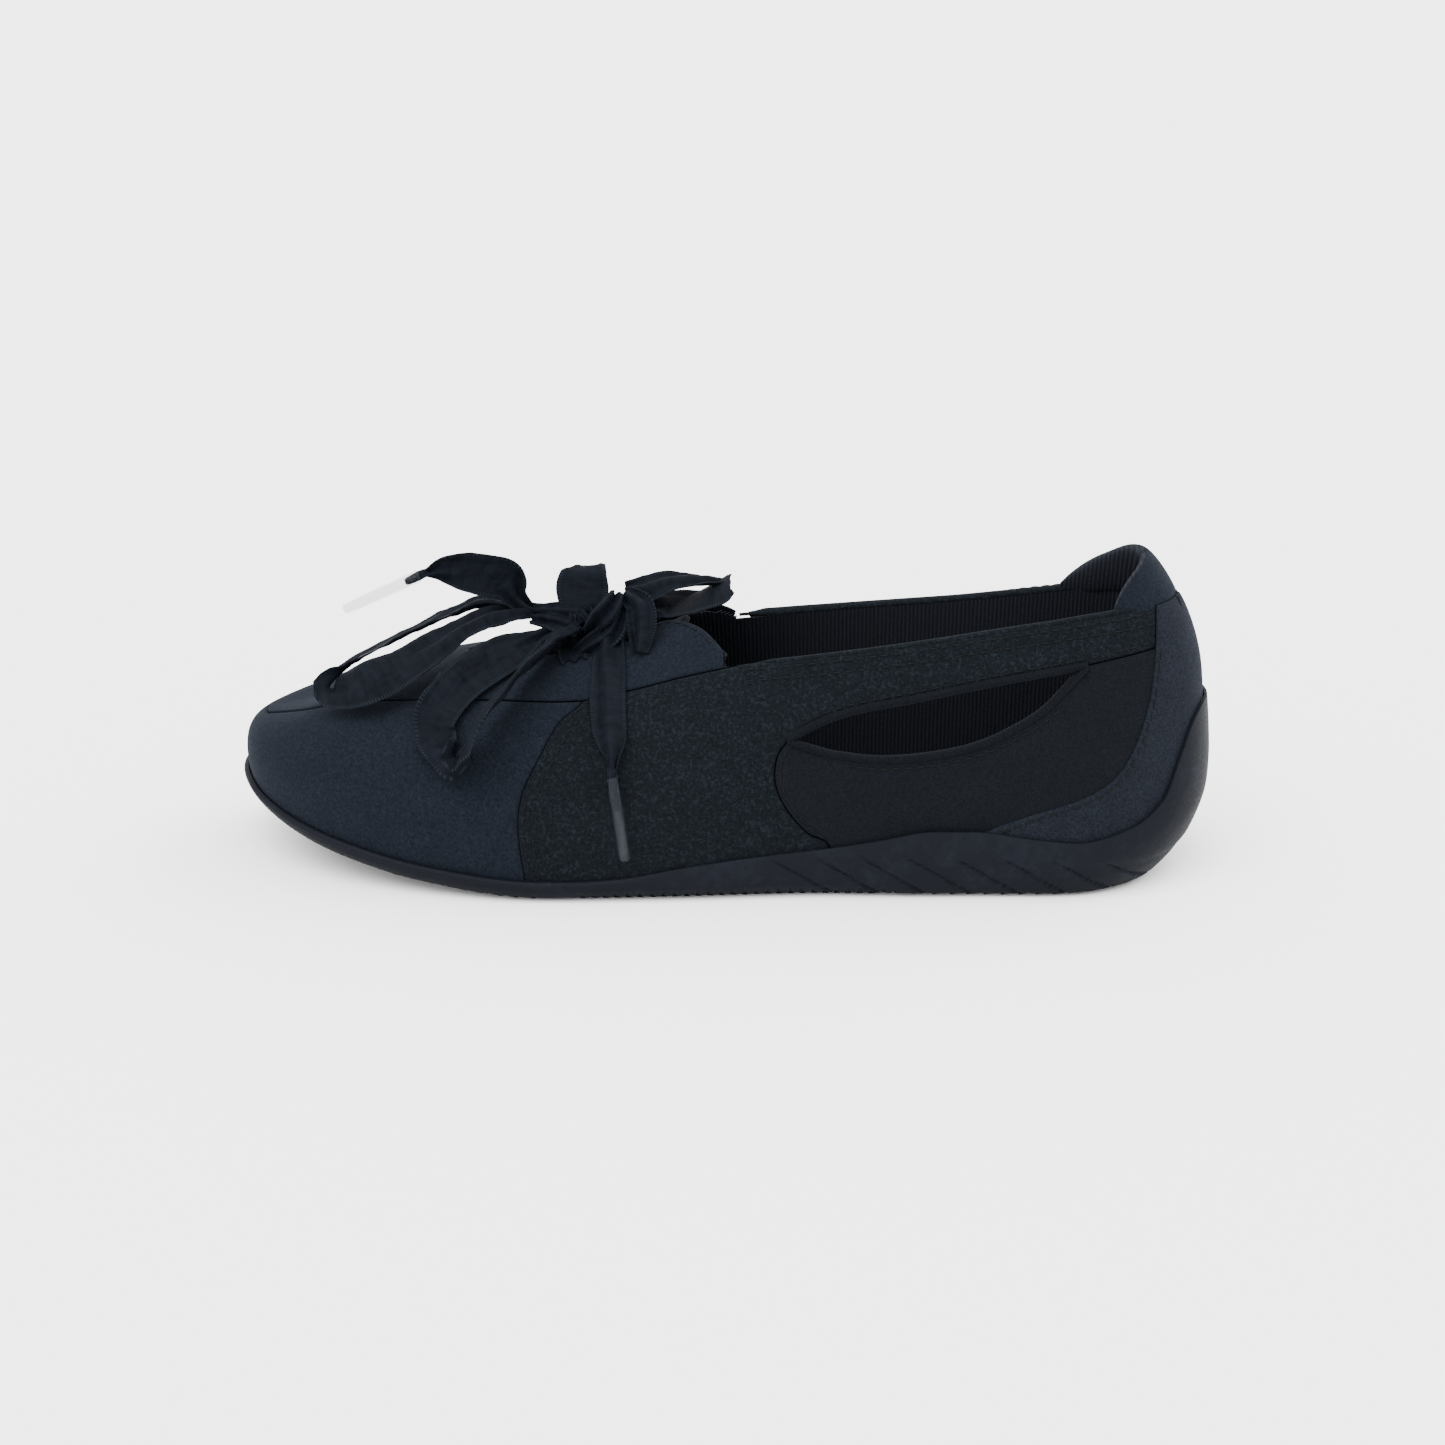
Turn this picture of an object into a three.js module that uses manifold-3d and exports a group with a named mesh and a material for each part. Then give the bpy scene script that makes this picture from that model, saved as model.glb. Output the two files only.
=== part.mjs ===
// Lace-up ballerina slipper, left foot. Millimetres, +Z up.
// Toe at -X, heel at +X, outer (lateral) side at -Y, sole on Z = 0.
import * as THREE from 'three';
import { mergeVertices } from 'three/addons/utils/BufferGeometryUtils.js';
import Module from 'manifold-3d';

const wasm = await Module();
wasm.setup();

// ---- overall sizes ----
const LENGTH = 260;
const HALF_WIDTH = 44;
const HEIGHT = 84;

// ---- layers of the upper, measured outward from its outer face ----
const SKIN = 1.0;
const GAP = 0.3;
const SEAM = 0.36;
const STIFFENER = 0.6;
const LINING = 0.7;
const OVERLAY = 0.8;
const TONGUE_THICK = 1.3;
const TAB_IN = 3.4;
const SOLE_WALL = 1.6;
const STIFFENER_OUT = -SKIN - GAP;
const LINING_OUT = STIFFENER_OUT - STIFFENER - GAP;
const LINING_IN = LINING_OUT - LINING;
const TONGUE_OUT = LINING_IN - GAP - 0.1;
const OVERLAY_OUT = GAP + OVERLAY;

// ---- footbed ----
const BOARD_THICK = 1.5;
const BOARD_INSET = 4.6;
const SOCKLINER_THICK = 3.0;
const SOCKLINER_INSET = 5.0;

// ---- throat and holes ----
const THROAT_FRONT = 0.265;
const THROAT_REAR = 0.519;
const SLIT_HALF = 5.5;
const HOLE_STATIONS = [0.335, 0.425];
const HOLE_OUT = 10.5;
const HOLE_LONG = 6.4;
const HOLE_WIDE = 3.6;
const TONGUE_HALF = 12;
const TONGUE_REAR = 0.465;
const LINING_JOIN = 0.46;
const BINDING_IN = 0.6;
const BINDING_OUT = 1.7;

// ---- ribbon ----
const RIBBON_WIDTH = 11;
const RIBBON_THICK = 0.8;
const RIBBON_CLEAR = 0.8;
const BAR_WIDTH = 4.4;
const KNOT_STATION = 0.3765;
const KNOT_SIZE = [17, 13, 8.5];
const AGLET_LONG = 22;
const AGLET_RADIUS = 1.8;

// ---- mesh density ----
const HALF_COLUMNS = 26;
const COLUMNS = HALF_COLUMNS * 2;
const ROWS = [0, 0.03, 0.08, 0.14, 0.21, 0.29, 0.38, 0.48, 0.62, 0.8, 1];

// ---- shape of the foot: station along the length against a share of the half width or of the height ----
const OUTLINE = [
  [0, 0.05], [0.028, -0.42], [0.1, -0.78], [0.2, -0.98], [0.32, -1.06],
  [0.46, -0.98], [0.6, -0.86], [0.76, -0.78], [0.9, -0.7], [0.975, -0.42],
  [1, 0], [0.975, 0.42], [0.9, 0.68], [0.76, 0.7], [0.6, 0.7],
  [0.46, 0.8], [0.32, 0.93], [0.2, 0.93], [0.1, 0.78], [0.028, 0.46],
];
const SPRING = [[0, 0.208], [0.05, 0.149], [0.12, 0.089], [0.22, 0.031], [0.34, 0], [0.9, 0], [1, 0.006]];
const FEATHER = [
  [0, 0.25], [0.05, 0.196], [0.12, 0.143], [0.22, 0.086], [0.34, 0.055], [0.5, 0.062], [0.7, 0.095],
  [0.85, 0.119], [1, 0.131],
];
const RIDGE = [
  [0.08, 0.467], [0.14, 0.542], [0.22, 0.613], [0.32, 0.679], [0.42, 0.75], [0.5, 0.869], [0.58, 1.07],
  [0.68, 1.286], [0.8, 1.476], [0.95, 1.62],
];
const BULGE = [[0, 3], [0.1, 3], [0.4, 1.5], [0.7, 1], [1, 2]];
const LIFT = [
  [0, 0.95], [0.1, 0.82], [0.2, 0.72], [0.35, 0.6], [0.5, 0.5], [0.65, 0.4], [0.9, 0.33], [0.96, 0.4],
  [1, 0.52],
];
const FLAT = [[0, 0.62], [0.2, 0.6], [0.5, 0.5], [0.7, 0.4], [0.9, 0.22], [0.96, 0.4], [1, 0.62]];
const ROLL = [[0, 1.5], [0.85, 2.5], [0.94, 7], [1, 12]];
const ROLL_HEIGHT = [[0, 0.07], [0.8, 0.07], [0.93, 0.19], [1, 0.333]];
const SPINE_FRONT = 0.095;
const SPINE_REAR = 0.86;
const MIDDLE = 0.02 * HALF_WIDTH;
const LEAN = 11;
const LEAN_FROM = 0.619;
const LEAN_OVER = 0.381;

// ---- seams, as side-view lines: station against a share of the height ----
const COLLAR = [
  [0.515, 0.69], [0.63, 0.74], [0.73, 0.787], [0.826, 0.835], [0.938, 0.881], [1.04, 0.893],
];
const APRON_HALF = [
  [0.021, 0.02], [0.0225, 0.06], [0.03, 0.14], [0.068, 0.293], [0.097, 0.37], [0.2, 0.545],
  [0.314, 0.648], [0.375, 0.657], [0.41, 0.62], [0.465, 0.573], [0.53, 0.55],
];
const VAMP_SEAM = [
  [0.4, 0.7], [0.377, 0.59], [0.353, 0.53], [0.336, 0.44], [0.32, 0.33], [0.318, 0.2], [0.33, -0.05],
];
const STRAP_EDGE = [
  [0.581, 0.487], [0.614, 0.545], [0.652, 0.583], [0.7, 0.613], [0.76, 0.652], [0.817, 0.687],
  [0.876, 0.72],
];
const CUTOUT_LOW = [
  [0.855, 0.655], [0.829, 0.576], [0.78, 0.492], [0.732, 0.452], [0.674, 0.436], [0.625, 0.45],
];
const PANEL_FRONT = [
  [0.581, 0.487], [0.571, 0.438], [0.57, 0.364], [0.581, 0.287], [0.602, 0.211], [0.626, 0.158],
  [0.64, -0.05],
];
const STRAP_REAR = [[0.876, 0.72], [0.94, 0.758], [1.04, 0.8]];
const OVERLAY_FRONT = [
  [0.941, 0.92], [0.941, 0.74], [0.936, 0.595], [0.923, 0.464], [0.904, 0.376], [0.871, 0.318],
  [0.821, 0.267], [0.775, 0.208], [0.76, 0.14],
];
const SOLE_EDGE = [
  [-0.05, 0.25], [0, 0.25], [0.05, 0.202], [0.1, 0.155], [0.15, 0.125], [0.19, 0.107], [0.27, 0.075],
  [0.34, 0.066], [0.41, 0.075], [0.49, 0.114], [0.57, 0.144], [0.62, 0.161], [0.67, 0.187],
  [0.73, 0.219], [0.775, 0.218], [0.82, 0.199], [0.872, 0.185], [0.921, 0.221], [0.952, 0.293],
  [0.968, 0.421], [0.981, 0.524], [0.992, 0.56], [1.05, 0.56],
];
const TAB_NEAR = [[0.885, 0.84], [0.903, 0.93], [0.923, 0.985], [0.95, 1], [0.975, 0.985], [1.04, 0.93]];
const TAB_FAR = [[0.83, 0.82], [0.862, 0.91], [0.9, 0.975], [0.94, 1], [0.975, 0.985], [1.04, 0.93]];

// ---- ribbon runs: offset from the knot x, y, z, width direction x, y, z, then the share of full width ----
const RUNS = {
  tail_front: [
    [-9.6, 2.5, 2.2, 0, -1, -0.1, 0.35], [-15.5, 2, 2.8, -0.2, -0.96, -0.2, 0.45],
    [-20.5, 1, 4.2, -0.41, -0.91, 0, 0.7], [-23, 0, 7, -0.46, -0.87, -0.17, 0.85],
    [-25.5, -1, 10.2, -0.3, -0.93, 0.1, 0.9], [-29.2, -2, 11.8, 0.1, -0.88, -0.4, 0.92],
    [-34.8, -4, 12.2, 0.12, -0.76, -0.62, 0.95], [-40.5, -6, 12.5, 0.02, -0.72, -0.66, 0.75],
    [-45.3, -8, 12.3, 0.1, -0.9, -0.43, 0.25],
  ],
  loop_front_far: [
    [-9.6, 6, -1.9, 0.1, 0.9, -0.1, 0.35], [-21.2, 9, -1, 0.15, 0.88, -0.4, 0.6],
    [-32, 12, -1.2, 0.16, 0.89, -0.42, 0.85], [-43.9, 14, -7.5, 0.18, 0.88, -0.43, 1],
    [-59.2, 13, -13.5, 0.2, 0.89, -0.41, 1], [-71.4, 10, -18.2, 0.19, 0.87, -0.45, 1],
    [-76.5, 5, -20.5, 0.2, 0.75, -0.6, 1], [-69.3, -1.5, -22.5, 0.25, 0.62, -0.74, 1],
    [-57.4, -5, -18.6, 0.28, 0.55, -0.78, 1], [-46.1, -6, -12, 0.3, 0.5, -0.8, 1],
    [-36.1, -5, -6.1, 0.3, 0.6, -0.7, 0.8], [-25, -3, -2.6, 0.12, 0.8, -0.5, 0.55],
    [-16.2, 1, -2.2, 0, 0.95, -0.3, 0.35], [-9.6, 0.6, -1.9, 0, 1, -0.1, 0.3],
  ],
  loop_front_near: [
    [-9.6, -4.6, -2.1, 0, -0.95, -0.3, 0.3], [-17, -8.5, -3.2, -0.1, -0.85, -0.5, 0.45],
    [-27, -15, -5.5, -0.35, -0.75, -0.55, 0.8], [-36.5, -22, -9.5, -0.7, -0.6, -0.4, 1],
    [-42.5, -29.5, -15.8, -0.85, -0.5, -0.15, 1], [-42.8, -35.5, -22.4, -0.85, -0.5, 0.05, 1],
    [-37.1, -40.5, -27.2, -0.7, -0.7, 0.2, 1], [-31, -41.5, -22.2, -0.5, -0.72, 0.45, 1],
    [-27, -37.5, -16.5, -0.42, -0.7, 0.55, 1], [-23, -30.5, -11.8, -0.38, -0.66, 0.6, 0.9],
    [-18.4, -21.5, -6.4, -0.2, -0.72, 0.62, 0.75], [-13.8, -12.5, -1.6, -0.1, -0.8, 0.58, 0.5],
    [-8.8, -5.5, 2.2, 0, -0.95, 0.3, 0.35],
  ],
  loop_rear: [
    [9.6, 3.5, 2.2, 0, 1, 0.1, 0.35], [12.5, 4, 4.5, -0.06, 0.93, 0.3, 0.6],
    [17.5, 5.5, 7.2, -0.02, 0.95, 0.3, 0.95],
    [25, 6.5, 6.6, 0, 1, 0.14, 1], [31, 6.5, 4.2, 0, 1, 0, 1], [33.8, 5.5, 1.2, 0, 1, -0.1, 1],
    [31, 3.5, -0.2, 0, 1, -0.1, 0.9], [22.6, 0.5, 0.9, -0.05, 1, -0.05, 0.75], [15, -1, 1.3, -0.1, 1, 0, 0.5],
    [9.8, -1.5, 0.3, -0.1, 1, 0, 0.35],
  ],
  fold_up: [
    [0.2, 1, 5.6, 0.76, -0.65, 0, 0.7], [-2.6, 1, 8, 0.8, -0.6, 0, 0.9],
    [-4.3, 1.8, 10.6, 0.88, -0.48, 0.02, 0.95],
    [-4.6, 4.4, 12.6, 0.94, -0.35, 0.05, 0.8],
  ],
  leaf: [
    [8.9, -5.6, 3.2, 0.75, -0.6, 0.25, 0.35], [11.4, -9, 2.8, 0.75, -0.62, 0.2, 0.7],
    [12.2, -11.8, -0.4, 0.65, -0.75, 0.12, 0.75], [11.8, -14.6, -5, 0.55, -0.8, 0.2, 0.3],
  ],
  tail_near: [
    [0.5, -8.4, -1.2, 0.85, -0.5, 0.1, 0.7], [1.9, -13.5, -2.6, 0.82, -0.56, 0.15, 0.85],
    [2.8, -21.5, -6, 0.83, -0.52, 0.19, 0.95], [3.6, -27.6, -10.6, 0.84, -0.5, 0.19, 1],
    [4.4, -32.6, -15.4, 0.84, -0.51, 0.2, 1], [5.1, -36.6, -20.3, 0.82, -0.53, 0.21, 1],
    [5.9, -39.4, -25.3, 0.7, -0.66, 0.25, 0.4],
  ],
};
const AGLET_FRONT = [[-45.4, -8.1, 12.3], [-16, -5, -6.4]];
const AGLET_NEAR = [[6.1, -39.9, -26.2], [4.8, -6.6, -21.6]];

// ---- colours ----
const FINISH = {
  suede: [0x272d36, 0.95],
  quarter: [0x1f262d, 0.95],
  overlay: [0x22272e, 0.95],
  lining: [0x15161b, 0.9],
  rubber: [0x2d333a, 0.6],
  board: [0x4a4038, 0.9],
  footbed: [0x1b1c22, 0.9],
  stiffener: [0x6a6258, 0.8],
  ribbon: [0x22262f, 0.55],
  clear: [0xd8dde0, 0.15],
};

// ---------- helpers ----------
const along = (s) => (s - 0.5) * LENGTH;
const tall = (share) => share * HEIGHT;

// Smooth line through pairs, with no overshoot.
function curve(pairs, x) {
  const last = pairs.length - 1;
  const u = Math.min(Math.max(x, pairs[0][0]), pairs[last][0]);
  const steps = [];
  for (let i = 0; i < last; i++) {
    steps.push((pairs[i + 1][1] - pairs[i][1]) / (pairs[i + 1][0] - pairs[i][0]));
  }
  const slope = (k) => {
    if (k === 0) return steps[0];
    if (k === last) return steps[last - 1];
    const product = steps[k - 1] * steps[k];
    return product <= 0 ? 0 : (2 * product) / (steps[k - 1] + steps[k]);
  };
  let i = 0;
  while (i < last - 1 && u >= pairs[i + 1][0]) i++;
  const h = pairs[i + 1][0] - pairs[i][0];
  const f = (u - pairs[i][0]) / h;
  const g = 1 - f;
  return (1 + 2 * f) * g * g * pairs[i][1] + f * g * g * h * slope(i)
    + f * f * (3 - 2 * f) * pairs[i + 1][1] - f * f * g * h * slope(i + 1);
}

// Plan outline of the sole: station and share of the half width at turn t.
function outlineAt(t) {
  const n = OUTLINE.length;
  const place = (((t % 1) + 1) % 1) * n;
  const i = Math.floor(place);
  const u = place - i;
  const mix = (k) => {
    const [a, b, c, d] = [-1, 0, 1, 2].map((j) => OUTLINE[(i + j + n) % n][k]);
    const bend = (2 * a - 5 * b + 4 * c - d) * u * u;
    return 0.5 * (2 * b + (c - a) * u + bend + (3 * b - a - 3 * c + d) * u * u * u);
  };
  return [mix(0), mix(1)];
}

// How far the lower edge rolls inward at a height.
function rollAt(s, z) {
  const over = tall(curve(ROLL_HEIGHT, s));
  const u = Math.max(0, tall(curve(SPRING, s)) + over - z) / over;
  return curve(ROLL, s) * u * u;
}

// A column of the foot: outline point, inward direction, reach to the spine and end heights.
function columnAt(t) {
  const [s, w] = outlineAt(t);
  const spine = SPINE_FRONT + (SPINE_REAR - SPINE_FRONT) * s;
  const foot = new THREE.Vector3(along(s), w * HALF_WIDTH, 0);
  const inward = new THREE.Vector3(along(spine), MIDDLE, 0).sub(foot);
  const reach = inward.length();
  inward.normalize();
  const slope = tall(curve(RIDGE, spine + 0.01) - curve(RIDGE, spine - 0.01)) / (along(0.02) - along(0));
  return { s, foot, inward, reach, slope, low: tall(curve(FEATHER, s)), high: tall(curve(RIDGE, spine)) };
}

// Outer face of the upper: t turns round the foot, h climbs from the sole (0) to the spine (1).
function faceAt(t, h) {
  const c = columnAt(t);
  const g = 1 - h;
  const rise = c.high - c.low;
  const rising = 3 * g * g * h * curve(LIFT, c.s) + 3 * g * h * h + h * h * h;
  const lowered = 3 * g * h * h * c.slope * Math.max(c.inward.x, 0) * c.reach * curve(FLAT, c.s);
  const z = c.low + rising * rise - lowered;
  const flat = c.reach * (1 - curve(FLAT, c.s));
  const inset = -3 * g * g * h * curve(BULGE, c.s) + 3 * g * h * h * flat + h * h * h * c.reach;
  const point = c.foot.clone().addScaledVector(c.inward, inset + rollAt(c.s, z));
  const rear = Math.min(Math.max((c.s - 0.8) / 0.2, 0), 1);
  const above = Math.min(Math.max(z - tall(LEAN_FROM), 0), tall(0.45)) / tall(LEAN_OVER);
  point.x -= LEAN * rear * rear * (3 - 2 * rear) * above * above;
  point.z = z;
  return point;
}

const GRID = [];
for (let i = 0; i < COLUMNS; i++) {
  GRID.push(ROWS.map((h) => ({ point: faceAt(i / COLUMNS, h), normal: new THREE.Vector3() })));
}

// The two sides share the points of the spine.
const TOP_ROW = ROWS.length - 1;
for (let i = 1; i < HALF_COLUMNS; i++) GRID[COLUMNS - i][TOP_ROW] = GRID[i][TOP_ROW];

const FACETS = [];
function addFacet(a, b, c) {
  FACETS.push([a, b, c]);
  const normal = b.point.clone().sub(a.point).cross(c.point.clone().sub(a.point));
  for (const cell of [a, b, c]) cell.normal.add(normal);
}

GRID.forEach((column, i) => {
  const next = GRID[(i + 1) % COLUMNS];
  for (let r = 0; r < TOP_ROW; r++) {
    const [a, b, c, d] = [column[r], next[r], next[r + 1], column[r + 1]];
    a.across = a.point.distanceTo(c.point) > b.point.distanceTo(d.point);
    const facets = a.across ? [[b, c, d], [b, d, a]] : [[a, b, c], [a, c, d]];
    facets.forEach((facet) => addFacet(...facet));
  }
});
new Set(GRID.flat()).forEach((cell) => cell.normal.normalize());

function toManifold(geometry) {
  const bare = new THREE.BufferGeometry();
  bare.setAttribute('position', geometry.getAttribute('position'));
  bare.setIndex(geometry.getIndex());
  const merged = mergeVertices(bare, 1e-5);
  const flat = new Float32Array(merged.getAttribute('position').array);
  const corners = new Uint32Array(merged.getIndex().array);
  const mesh = new wasm.Mesh({ numProp: 3, vertProperties: flat, triVerts: corners });
  mesh.merge();
  return new wasm.Manifold(mesh);
}

function fromLists(points, triangles) {
  const geometry = new THREE.BufferGeometry();
  const places = points.flatMap((p) => [p.x, p.y, p.z]);
  geometry.setAttribute('position', new THREE.Float32BufferAttribute(places, 3));
  geometry.setIndex(triangles);
  return geometry;
}

// Two triangles for a quad, skipping collapsed ones.
function addQuad(triangles, a, b, c, d) {
  if (a !== b && b !== c && a !== c) triangles.push(a, b, c);
  if (a !== c && c !== d && a !== d) triangles.push(a, c, d);
}

// Closes a ring of columns straight across; up faces +Z.
function addLadder(triangles, base, up) {
  for (let i = 0; i < HALF_COLUMNS; i++) {
    const a = base + i;
    const b = base + i + 1;
    const c = base + ((COLUMNS - i - 1) % COLUMNS);
    const d = base + ((COLUMNS - i) % COLUMNS);
    if (up) addQuad(triangles, a, b, c, d);
    else addQuad(triangles, d, c, b, a);
  }
}

// A solid from stacked rings of columns, closed across the bottom and the top.
function stack(rings) {
  const points = rings.flat();
  const triangles = [];
  addLadder(triangles, 0, false);
  for (let r = 0; r < rings.length - 1; r++) {
    for (let i = 0; i < COLUMNS; i++) {
      const j = (i + 1) % COLUMNS;
      const low = r * COLUMNS;
      addQuad(triangles, low + i, low + j, low + COLUMNS + j, low + COLUMNS + i);
    }
  }
  addLadder(triangles, (rings.length - 1) * COLUMNS, true);
  return toManifold(fromLists(points, triangles));
}

// The whole upper as one skin between two offsets from the outer face, open underneath.
function skinBetween(inner, outer) {
  const rows = ROWS.length;
  const points = [];
  const index = [outer, inner].map(() => GRID.map(() => new Array(rows)));
  [outer, inner].forEach((offset, side) => {
    GRID.forEach((column, i) => {
      column.forEach((cell, r) => {
        const twin = r === TOP_ROW && i > HALF_COLUMNS ? COLUMNS - i : i;
        if (twin !== i) {
          index[side][i][r] = index[side][twin][r];
          return;
        }
        index[side][i][r] = points.length;
        points.push(cell.point.clone().addScaledVector(cell.normal, offset));
      });
    });
  });
  const triangles = [];
  for (let i = 0; i < COLUMNS; i++) {
    const j = (i + 1) % COLUMNS;
    for (let r = 0; r < rows - 1; r++) {
      const [o, n] = index;
      if (GRID[i][r].across) {
        addQuad(triangles, o[j][r], o[j][r + 1], o[i][r + 1], o[i][r]);
        addQuad(triangles, n[i][r + 1], n[j][r + 1], n[j][r], n[i][r]);
      } else {
        addQuad(triangles, o[i][r], o[j][r], o[j][r + 1], o[i][r + 1]);
        addQuad(triangles, n[i][r], n[i][r + 1], n[j][r + 1], n[j][r]);
      }
    }
    addQuad(triangles, index[1][i][0], index[1][j][0], index[0][j][0], index[0][i][0]);
  }
  return toManifold(fromLists(points, triangles));
}

// A smooth run of points through a line of [station, share] pairs.
function smooth(line, count) {
  const path = new THREE.SplineCurve(line.map(([s, share]) => new THREE.Vector2(along(s), tall(share))));
  return path.getPoints(count);
}

const corner = (s, share) => new THREE.Vector2(along(s), tall(share));

// Moves every corner of a closed outline outward by d.
function grow(points, d) {
  const turn = THREE.ShapeUtils.area(points) > 0 ? 1 : -1;
  return points.map((p, i) => {
    const before = points[(i - 1 + points.length) % points.length];
    const after = points[(i + 1) % points.length];
    const a = p.clone().sub(before).normalize();
    const b = after.clone().sub(p).normalize();
    const way = new THREE.Vector2(a.y + b.y, -a.x - b.x).normalize();
    const tight = Math.max(0.5, Math.abs(way.x * a.y - way.y * a.x));
    return p.clone().addScaledVector(way, (turn * d) / tight);
  });
}

// Side-view outline carried across the width from y0 to y1.
function sideBlock(points, y0, y1) {
  const shape = new THREE.Shape(points);
  const block = new THREE.ExtrudeGeometry(shape, { depth: y1 - y0, bevelEnabled: false });
  block.rotateX(Math.PI / 2);
  block.translate(0, y1, 0);
  return toManifold(block);
}

// Plan outline carried upward from z0 to z1.
function planBlock(points, z0, z1) {
  const shape = new THREE.Shape(points);
  const block = new THREE.ExtrudeGeometry(shape, { depth: z1 - z0, bevelEnabled: false });
  block.translate(0, 0, z0);
  return toManifold(block);
}

const WIDE = HALF_WIDTH * 2;
const NEAR = [-WIDE, MIDDLE - SEAM / 2];
const FAR = [MIDDLE + SEAM / 2, WIDE];

const group = new THREE.Group();
group.name = 'ballet_slipper';

function addMesh(name, geometry, finish) {
  const [color, roughness] = FINISH[finish];
  const material = new THREE.MeshStandardMaterial({ color, roughness });
  const mesh = new THREE.Mesh(geometry, material);
  mesh.name = name;
  group.add(mesh);
}

// The largest body of a solid: a cut along a seam can leave loose slivers.
function largest(solid) {
  const bodies = solid.decompose();
  return bodies.reduce((best, body) => (body.volume() > best.volume() ? body : best), bodies[0]);
}

function addSolid(name, solid, finish) {
  const mesh = largest(solid).getMesh();
  const geometry = new THREE.BufferGeometry();
  geometry.setAttribute('position', new THREE.BufferAttribute(new Float32Array(mesh.vertProperties), 3));
  geometry.setIndex(Array.from(mesh.triVerts));
  geometry.computeVertexNormals();
  addMesh(name, geometry, finish);
}

// ---------- cutting outlines ----------
const FLOOR = -0.1;
const SKY = 2.5;
const cutoutLine = [...smooth(STRAP_EDGE, 12), ...smooth(CUTOUT_LOW, 8)];
const panelLine = [
  ...smooth(PANEL_FRONT, 12), corner(1.1, FLOOR), corner(1.1, 0.82), ...smooth(STRAP_REAR, 4).reverse(),
  ...smooth(CUTOUT_LOW, 8),
];
const quarterLine = [
  ...smooth(VAMP_SEAM, 12), corner(1.1, FLOOR), corner(1.1, SKY), corner(0.4, SKY),
];
const vampLine = [corner(-0.1, SKY), corner(0.4, SKY), ...smooth(VAMP_SEAM, 12), corner(-0.1, FLOOR)];
const aboveCollar = [...smooth(COLLAR, 14), corner(1.1, 0.893), corner(1.1, SKY), corner(0.515, SKY)];

// Plan outline of the apron, front end round the toe, rear end square behind the throat.
function apronOutline() {
  const half = new THREE.SplineCurve(APRON_HALF.map(([s, w]) => new THREE.Vector2(along(s), w * HALF_WIDTH)));
  const farSide = half.getPoints(26).map((p) => new THREE.Vector2(p.x, MIDDLE + p.y));
  const nearSide = half.getPoints(26).map((p) => new THREE.Vector2(p.x, MIDDLE - p.y)).reverse();
  return [...nearSide, ...farSide];
}

function throatOutline(widen) {
  const half = SLIT_HALF + widen;
  const flare = [[0.38, half], [0.44, half + 0.8], [0.459, half + 2.2], [0.486, 13.5 + widen],
    [0.508, 19.5 + widen], [THROAT_REAR, 22.5 + widen]];
  const nearSide = flare.map(([s, y]) => new THREE.Vector2(along(s), MIDDLE - y));
  const farSide = flare.map(([s, y]) => new THREE.Vector2(along(s), MIDDLE + y)).reverse();
  const tip = [];
  for (let i = 0; i <= 6; i++) {
    const a = (Math.PI * (0.5 + i / 6));
    tip.push(new THREE.Vector2(along(THROAT_FRONT) + half * Math.cos(a), MIDDLE + half * Math.sin(a)));
  }
  return [...tip, ...nearSide, ...farSide];
}

const holeCuts = [];
for (const s of HOLE_STATIONS) {
  for (const side of [-1, 1]) {
    const x = along(s);
    const y = MIDDLE + side * HOLE_OUT;
    const slot = [[-1, -1], [1, -1], [1, 1], [-1, 1]].map(
      ([i, j]) => new THREE.Vector2(x + (i * HOLE_LONG) / 2, y + (j * HOLE_WIDE) / 2),
    );
    holeCuts.push(planBlock(slot, tall(0.5), tall(1)));
  }
}

const topCut = wasm.Manifold.union([
  planBlock(throatOutline(0), tall(0.45), tall(1.2)),
  sideBlock(aboveCollar, -WIDE, WIDE),
]);
const liningTopCut = wasm.Manifold.union([
  planBlock(throatOutline(GAP), tall(0.45), tall(1.2)),
  sideBlock(grow(aboveCollar, GAP), -WIDE, WIDE),
]);

// ---------- upper ----------
function addOuterPanels() {
  const skin = skinBetween(-SKIN, 0).subtract(topCut);
  const top = apronOutline();
  const apron = skin.intersect(planBlock(grow(top, -SEAM / 2), tall(0.3), tall(1.2)));
  const sides = skin.subtract(planBlock(grow(top, SEAM / 2), tall(0.3), tall(1.2)));
  addSolid('vamp', sides.intersect(sideBlock(grow(vampLine, -SEAM / 2), -WIDE, WIDE)), 'suede');
  addSolid('apron', apron.subtract(wasm.Manifold.union(holeCuts)), 'suede');
  const quarter = sideBlock(grow(quarterLine, -SEAM / 2), -WIDE, WIDE);
  const panel = sideBlock(grow(panelLine, -SEAM / 2), -WIDE, WIDE);
  const panelRoom = sideBlock(grow(panelLine, SEAM / 2), -WIDE, WIDE);
  const hole = sideBlock(cutoutLine, -WIDE, WIDE);
  const quarters = sides.intersect(quarter).subtract(panelRoom).subtract(hole);
  const panels = skin.intersect(panel).subtract(hole);
  const endX = along(1.1);
  for (const [side, [y0, y1]] of [['lateral', NEAR], ['medial', FAR]]) {
    const half = sideBlock([[-endX, FLOOR], [endX, FLOOR], [endX, SKY], [-endX, SKY]].map(
      ([x, share]) => new THREE.Vector2(x, tall(share)),
    ), y0, y1);
    addSolid(`quarter_${side}`, quarters.intersect(half), 'quarter');
    addSolid(`side_panel_${side}`, panels.intersect(half), 'quarter');
  }
}

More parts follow.
